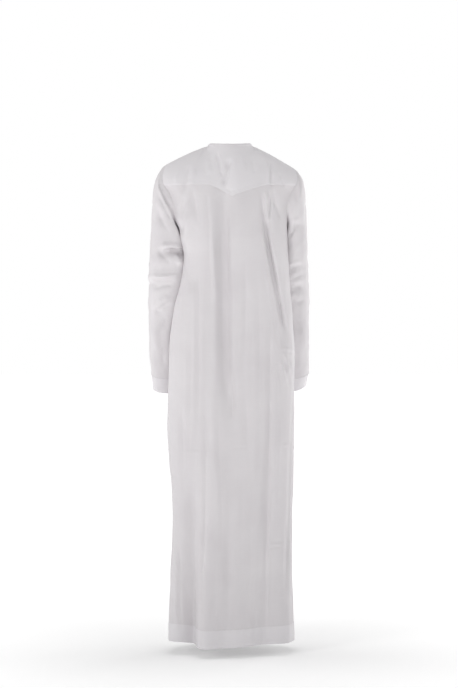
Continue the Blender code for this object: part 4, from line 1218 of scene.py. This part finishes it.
def sewn(name, stitches, thread=THREAD_ROUND):
    """Stitches as one piece: short round threads that dip into the cloth at both ends."""
    corners, faces = [], []
    around = np.arange(STITCH_SIDES) * math.tau / STITCH_SIDES
    for first, last, out in stitches:
        sideways = np.cross(out, unit(last - first))
        start = len(corners)
        for share, wide, lift in STITCH_RINGS:
            middle = first + (last - first) * share + out * thread * lift
            circle = np.outer(np.sin(around), out) + np.outer(np.cos(around), sideways)
            corners.extend((middle + circle * thread * wide).tolist())
        for ring in range(len(STITCH_RINGS) - 1):
            low = start + ring * STITCH_SIDES
            for k in range(STITCH_SIDES):
                after = (k + 1) % STITCH_SIDES
                faces.append((low + k, low + after, low + STITCH_SIDES + after, low + STITCH_SIDES + k))
        faces.append(tuple(start + k for k in reversed(range(STITCH_SIDES))))
        faces.append(tuple(len(corners) - STITCH_SIDES + k for k in range(STITCH_SIDES)))
    mesh = bpy.data.meshes.new(name)
    mesh.from_pydata(corners, [], faces)
    mesh.materials.append(white_thread)
    piece = bpy.data.objects.new(name, mesh)
    bpy.context.scene.collection.objects.link(piece)
    only(piece)
    bpy.ops.object.shade_smooth_by_angle(angle=math.radians(60))
    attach(piece, "root")


def row_at(grid, normals, height, closed=False):
    """A line along a sheet at a distance from its first row, with the normals there."""
    up = np.linalg.norm(np.diff(grid, axis=0), axis=2).mean(axis=1)
    place = np.interp(height, np.concatenate([[0], np.cumsum(up)]), np.arange(len(grid)))
    low = min(int(place), len(grid) - 2)
    share = place - low
    points = grid[low] * (1 - share) + grid[low + 1] * share
    outwards = unit(normals[low] * (1 - share) + normals[low + 1] * share)
    if closed:
        points, outwards = (np.concatenate([line, line[:1]]) for line in (points, outwards))
    return points, outwards


white_thread = sewing_thread()
yoke_high = np.linalg.norm(np.diff(yoke_shaped, axis=0), axis=2).mean(axis=1).sum()
yoke_stitches = stitches_along(*row_at(yoke_shaped, yoke_normals, SEAM_INSET))
for shoulder in (slice(0, shoulder_fine - 1), slice(-shoulder_fine + 1, None)):
    front_edge = row_at(yoke_shaped[:, shoulder], yoke_normals[:, shoulder], yoke_high - 1.5 * SEAM_INSET)
    yoke_stitches += stitches_along(*front_edge)
sewn("back_yoke_stitches", yoke_stitches)

sewn("neck_band_stitches", stitches_along(*row_at(neck_form, neck_normals, NECK_BAND_SEAM, closed=True)))

placket_stitches = []
box_top = int(round(BOX_TALL / BODY_ROW))
for column in (0, -1):
    inset = (placket_shaped[:, -1 - column] - placket_shaped[:, column]) * PLACKET_SEAM_SHARE
    placket_stitches += stitches_along(placket_shaped[:, column] + inset, strip_normals[:, column])
for row in (0, box_top):
    here, above = placket_shaped[row, 1:-1], placket_shaped[row + 1, 1:-1]
    line = here + (above - here) * BOX_ROW_SHARE
    placket_stitches += stitches_along(line, strip_normals[row, 1:-1])
sewn("placket_stitches", placket_stitches)

for side in sleeve_sizes:
    rows = [row_at(cuff_grids[side], cuff_normals[side], height, closed=True) for height in CUFF_SEAMS]
    sewn(f"cuff_{side}_stitches", stitches_along(*rows[0]) + stitches_along(*rows[1]))

hem_line = row_at(hem_shaped, hem_normals, HEM_TALL - SEAM_INSET, closed=True)
sewn("hem_band_stitches", stitches_along(*hem_line))

strands = []
for seat, outwards in button_seats.values():
    turn = Vector(outwards).to_track_quat("Z", "Y")
    floor = seat + outwards * (BUTTON_THICK - BUTTON_DISH)
    for side in (-1, 1):
        ends = [floor + np.array(turn @ Vector((along * STRAND_HALF_LONG, side * STRAND_OUT, 0)))
                for along in (-1, 1)]
        strands.append((*ends, outwards))
sewn("button_threads", strands, thread=STRAND_ROUND)


# Studio
# A white paper floor with a painted glow that grows away from the robe, in white surroundings, lit from the
# left of the picture and from behind the camera, and the camera square to the robe's back, level with the
# middle of the picture.

FLOOR_Z = -1.419
PIXEL = 0.00281
PICTURE_TALL = 688
CAMERA_AWAY = 5.0
CAMERA_X = 0.0028
CAMERA_Z = -0.5536
FLOOR_RADIUS = 45.0
# Painted glow of the floor: emission strength near the robe and far from it, standing in for studio light
# on the paper
FLOOR_NEAR = 0.2
FLOOR_FAR = 3.0
FLOOR_GLOW_NEAR = 0.33
FLOOR_GLOW_FAR = 1.0
WORLD_LIGHT = 0.22
WORLD_SEEN = 1.0
VIEW_FAR = 120

# Lamps: name, place, the point that each looks at, size and power
LAMPS = (
    ("key", (2.7, 2.8, 0.1), (0, 0, -0.9), 1.0, 35),
    ("far_key", (-2.8, 3.2, -0.6), (0, 0, -0.8), 1.8, 18),
    ("front", (0.0, 5.2, -0.9), (0, 0, -0.8), 2.0, 12),
    ("front_key", (-2.6, -3.0, -0.2), (0, 0, -0.8), 1.2, 24),
    ("top", (0.0, -0.1, 2.5), (0, 0, -0.4), 1.8, 30),
    ("left_side", (3.2, -0.9, 0.0), (0, 0, -0.6), 2.2, 24),
    ("right_side", (-3.2, -0.9, 0.0), (0, 0, -0.6), 2.2, 28),
)


def floor_white_glowing():
    """Matt white paper with a painted glow: its emission grows with distance from the robe, so that it
    fades into the white around it.
    """
    material, tree, shader = node_material("floor_white_glowing")
    set_inputs(shader, Base_Color=(0.82, 0.82, 0.82, 1), Roughness=0.95, Specular_IOR_Level=0.1,
               Emission_Color=(1, 1, 1, 1))
    place = tree.nodes.new("ShaderNodeTexCoord")
    flat = tree.nodes.new("ShaderNodeVectorMath")
    flat.operation = "MULTIPLY"
    flat.inputs[1].default_value = (1, 1, 0)
    away = tree.nodes.new("ShaderNodeVectorMath")
    away.operation = "LENGTH"
    glow = tree.nodes.new("ShaderNodeMapRange")
    set_inputs(glow, From_Min=FLOOR_NEAR, From_Max=FLOOR_FAR, To_Min=FLOOR_GLOW_NEAR, To_Max=FLOOR_GLOW_FAR)
    tree.links.new(place.outputs["Object"], flat.inputs[0])
    tree.links.new(flat.outputs["Vector"], away.inputs[0])
    tree.links.new(away.outputs["Value"], glow.inputs["Value"])
    tree.links.new(glow.outputs["Result"], shader.inputs["Emission Strength"])
    return material


bpy.ops.object.select_all(action="DESELECT")
bpy.ops.mesh.primitive_circle_add(
    vertices=96, radius=FLOOR_RADIUS, fill_type="NGON", location=(0, 0, FLOOR_Z))
paper_floor = bpy.context.object
paper_floor.name = paper_floor.data.name = "paper_floor"
bpy.ops.object.transform_apply(location=True, rotation=True, scale=True)
paper_floor.data.materials.append(floor_white_glowing())
paper_floor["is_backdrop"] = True


def soft_light(name, place, target, size, power):
    """A large square lamp that points at a place."""
    lamp = bpy.data.lights.new(name, "AREA")
    lamp.shape = "SQUARE"
    lamp.size = size
    lamp.energy = power
    thing = bpy.data.objects.new(name, lamp)
    thing.location = place
    thing.rotation_euler = (Vector(target) - Vector(place)).to_track_quat("-Z", "Y").to_euler()
    bpy.context.scene.collection.objects.link(thing)


for lamp in LAMPS:
    soft_light(*lamp)

world = bpy.data.worlds.new("studio")
world.use_nodes = True
sky = world.node_tree
seen = sky.nodes.new("ShaderNodeLightPath")
strength = sky.nodes.new("ShaderNodeMapRange")
set_inputs(strength, To_Min=WORLD_LIGHT, To_Max=WORLD_SEEN)
sky.links.new(seen.outputs["Is Camera Ray"], strength.inputs["Value"])
sky.links.new(strength.outputs["Result"], sky.nodes["Background"].inputs["Strength"])
sky.nodes["Background"].inputs["Color"].default_value = (1, 1, 1, 1)
bpy.context.scene.world = world

lens = bpy.data.cameras.new("camera")
lens.sensor_fit = "VERTICAL"
lens.angle = 2 * math.atan(PICTURE_TALL / 2 * PIXEL / CAMERA_AWAY)
lens.clip_end = VIEW_FAR
camera = bpy.data.objects.new("camera", lens)
camera.location = (CAMERA_X, CAMERA_AWAY, CAMERA_Z)
camera.rotation_euler = (math.radians(90), 0, math.radians(180))
bpy.context.scene.collection.objects.link(camera)
bpy.context.scene.camera = camera
bpy.context.scene.view_settings.view_transform = "Standard"

low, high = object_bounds()
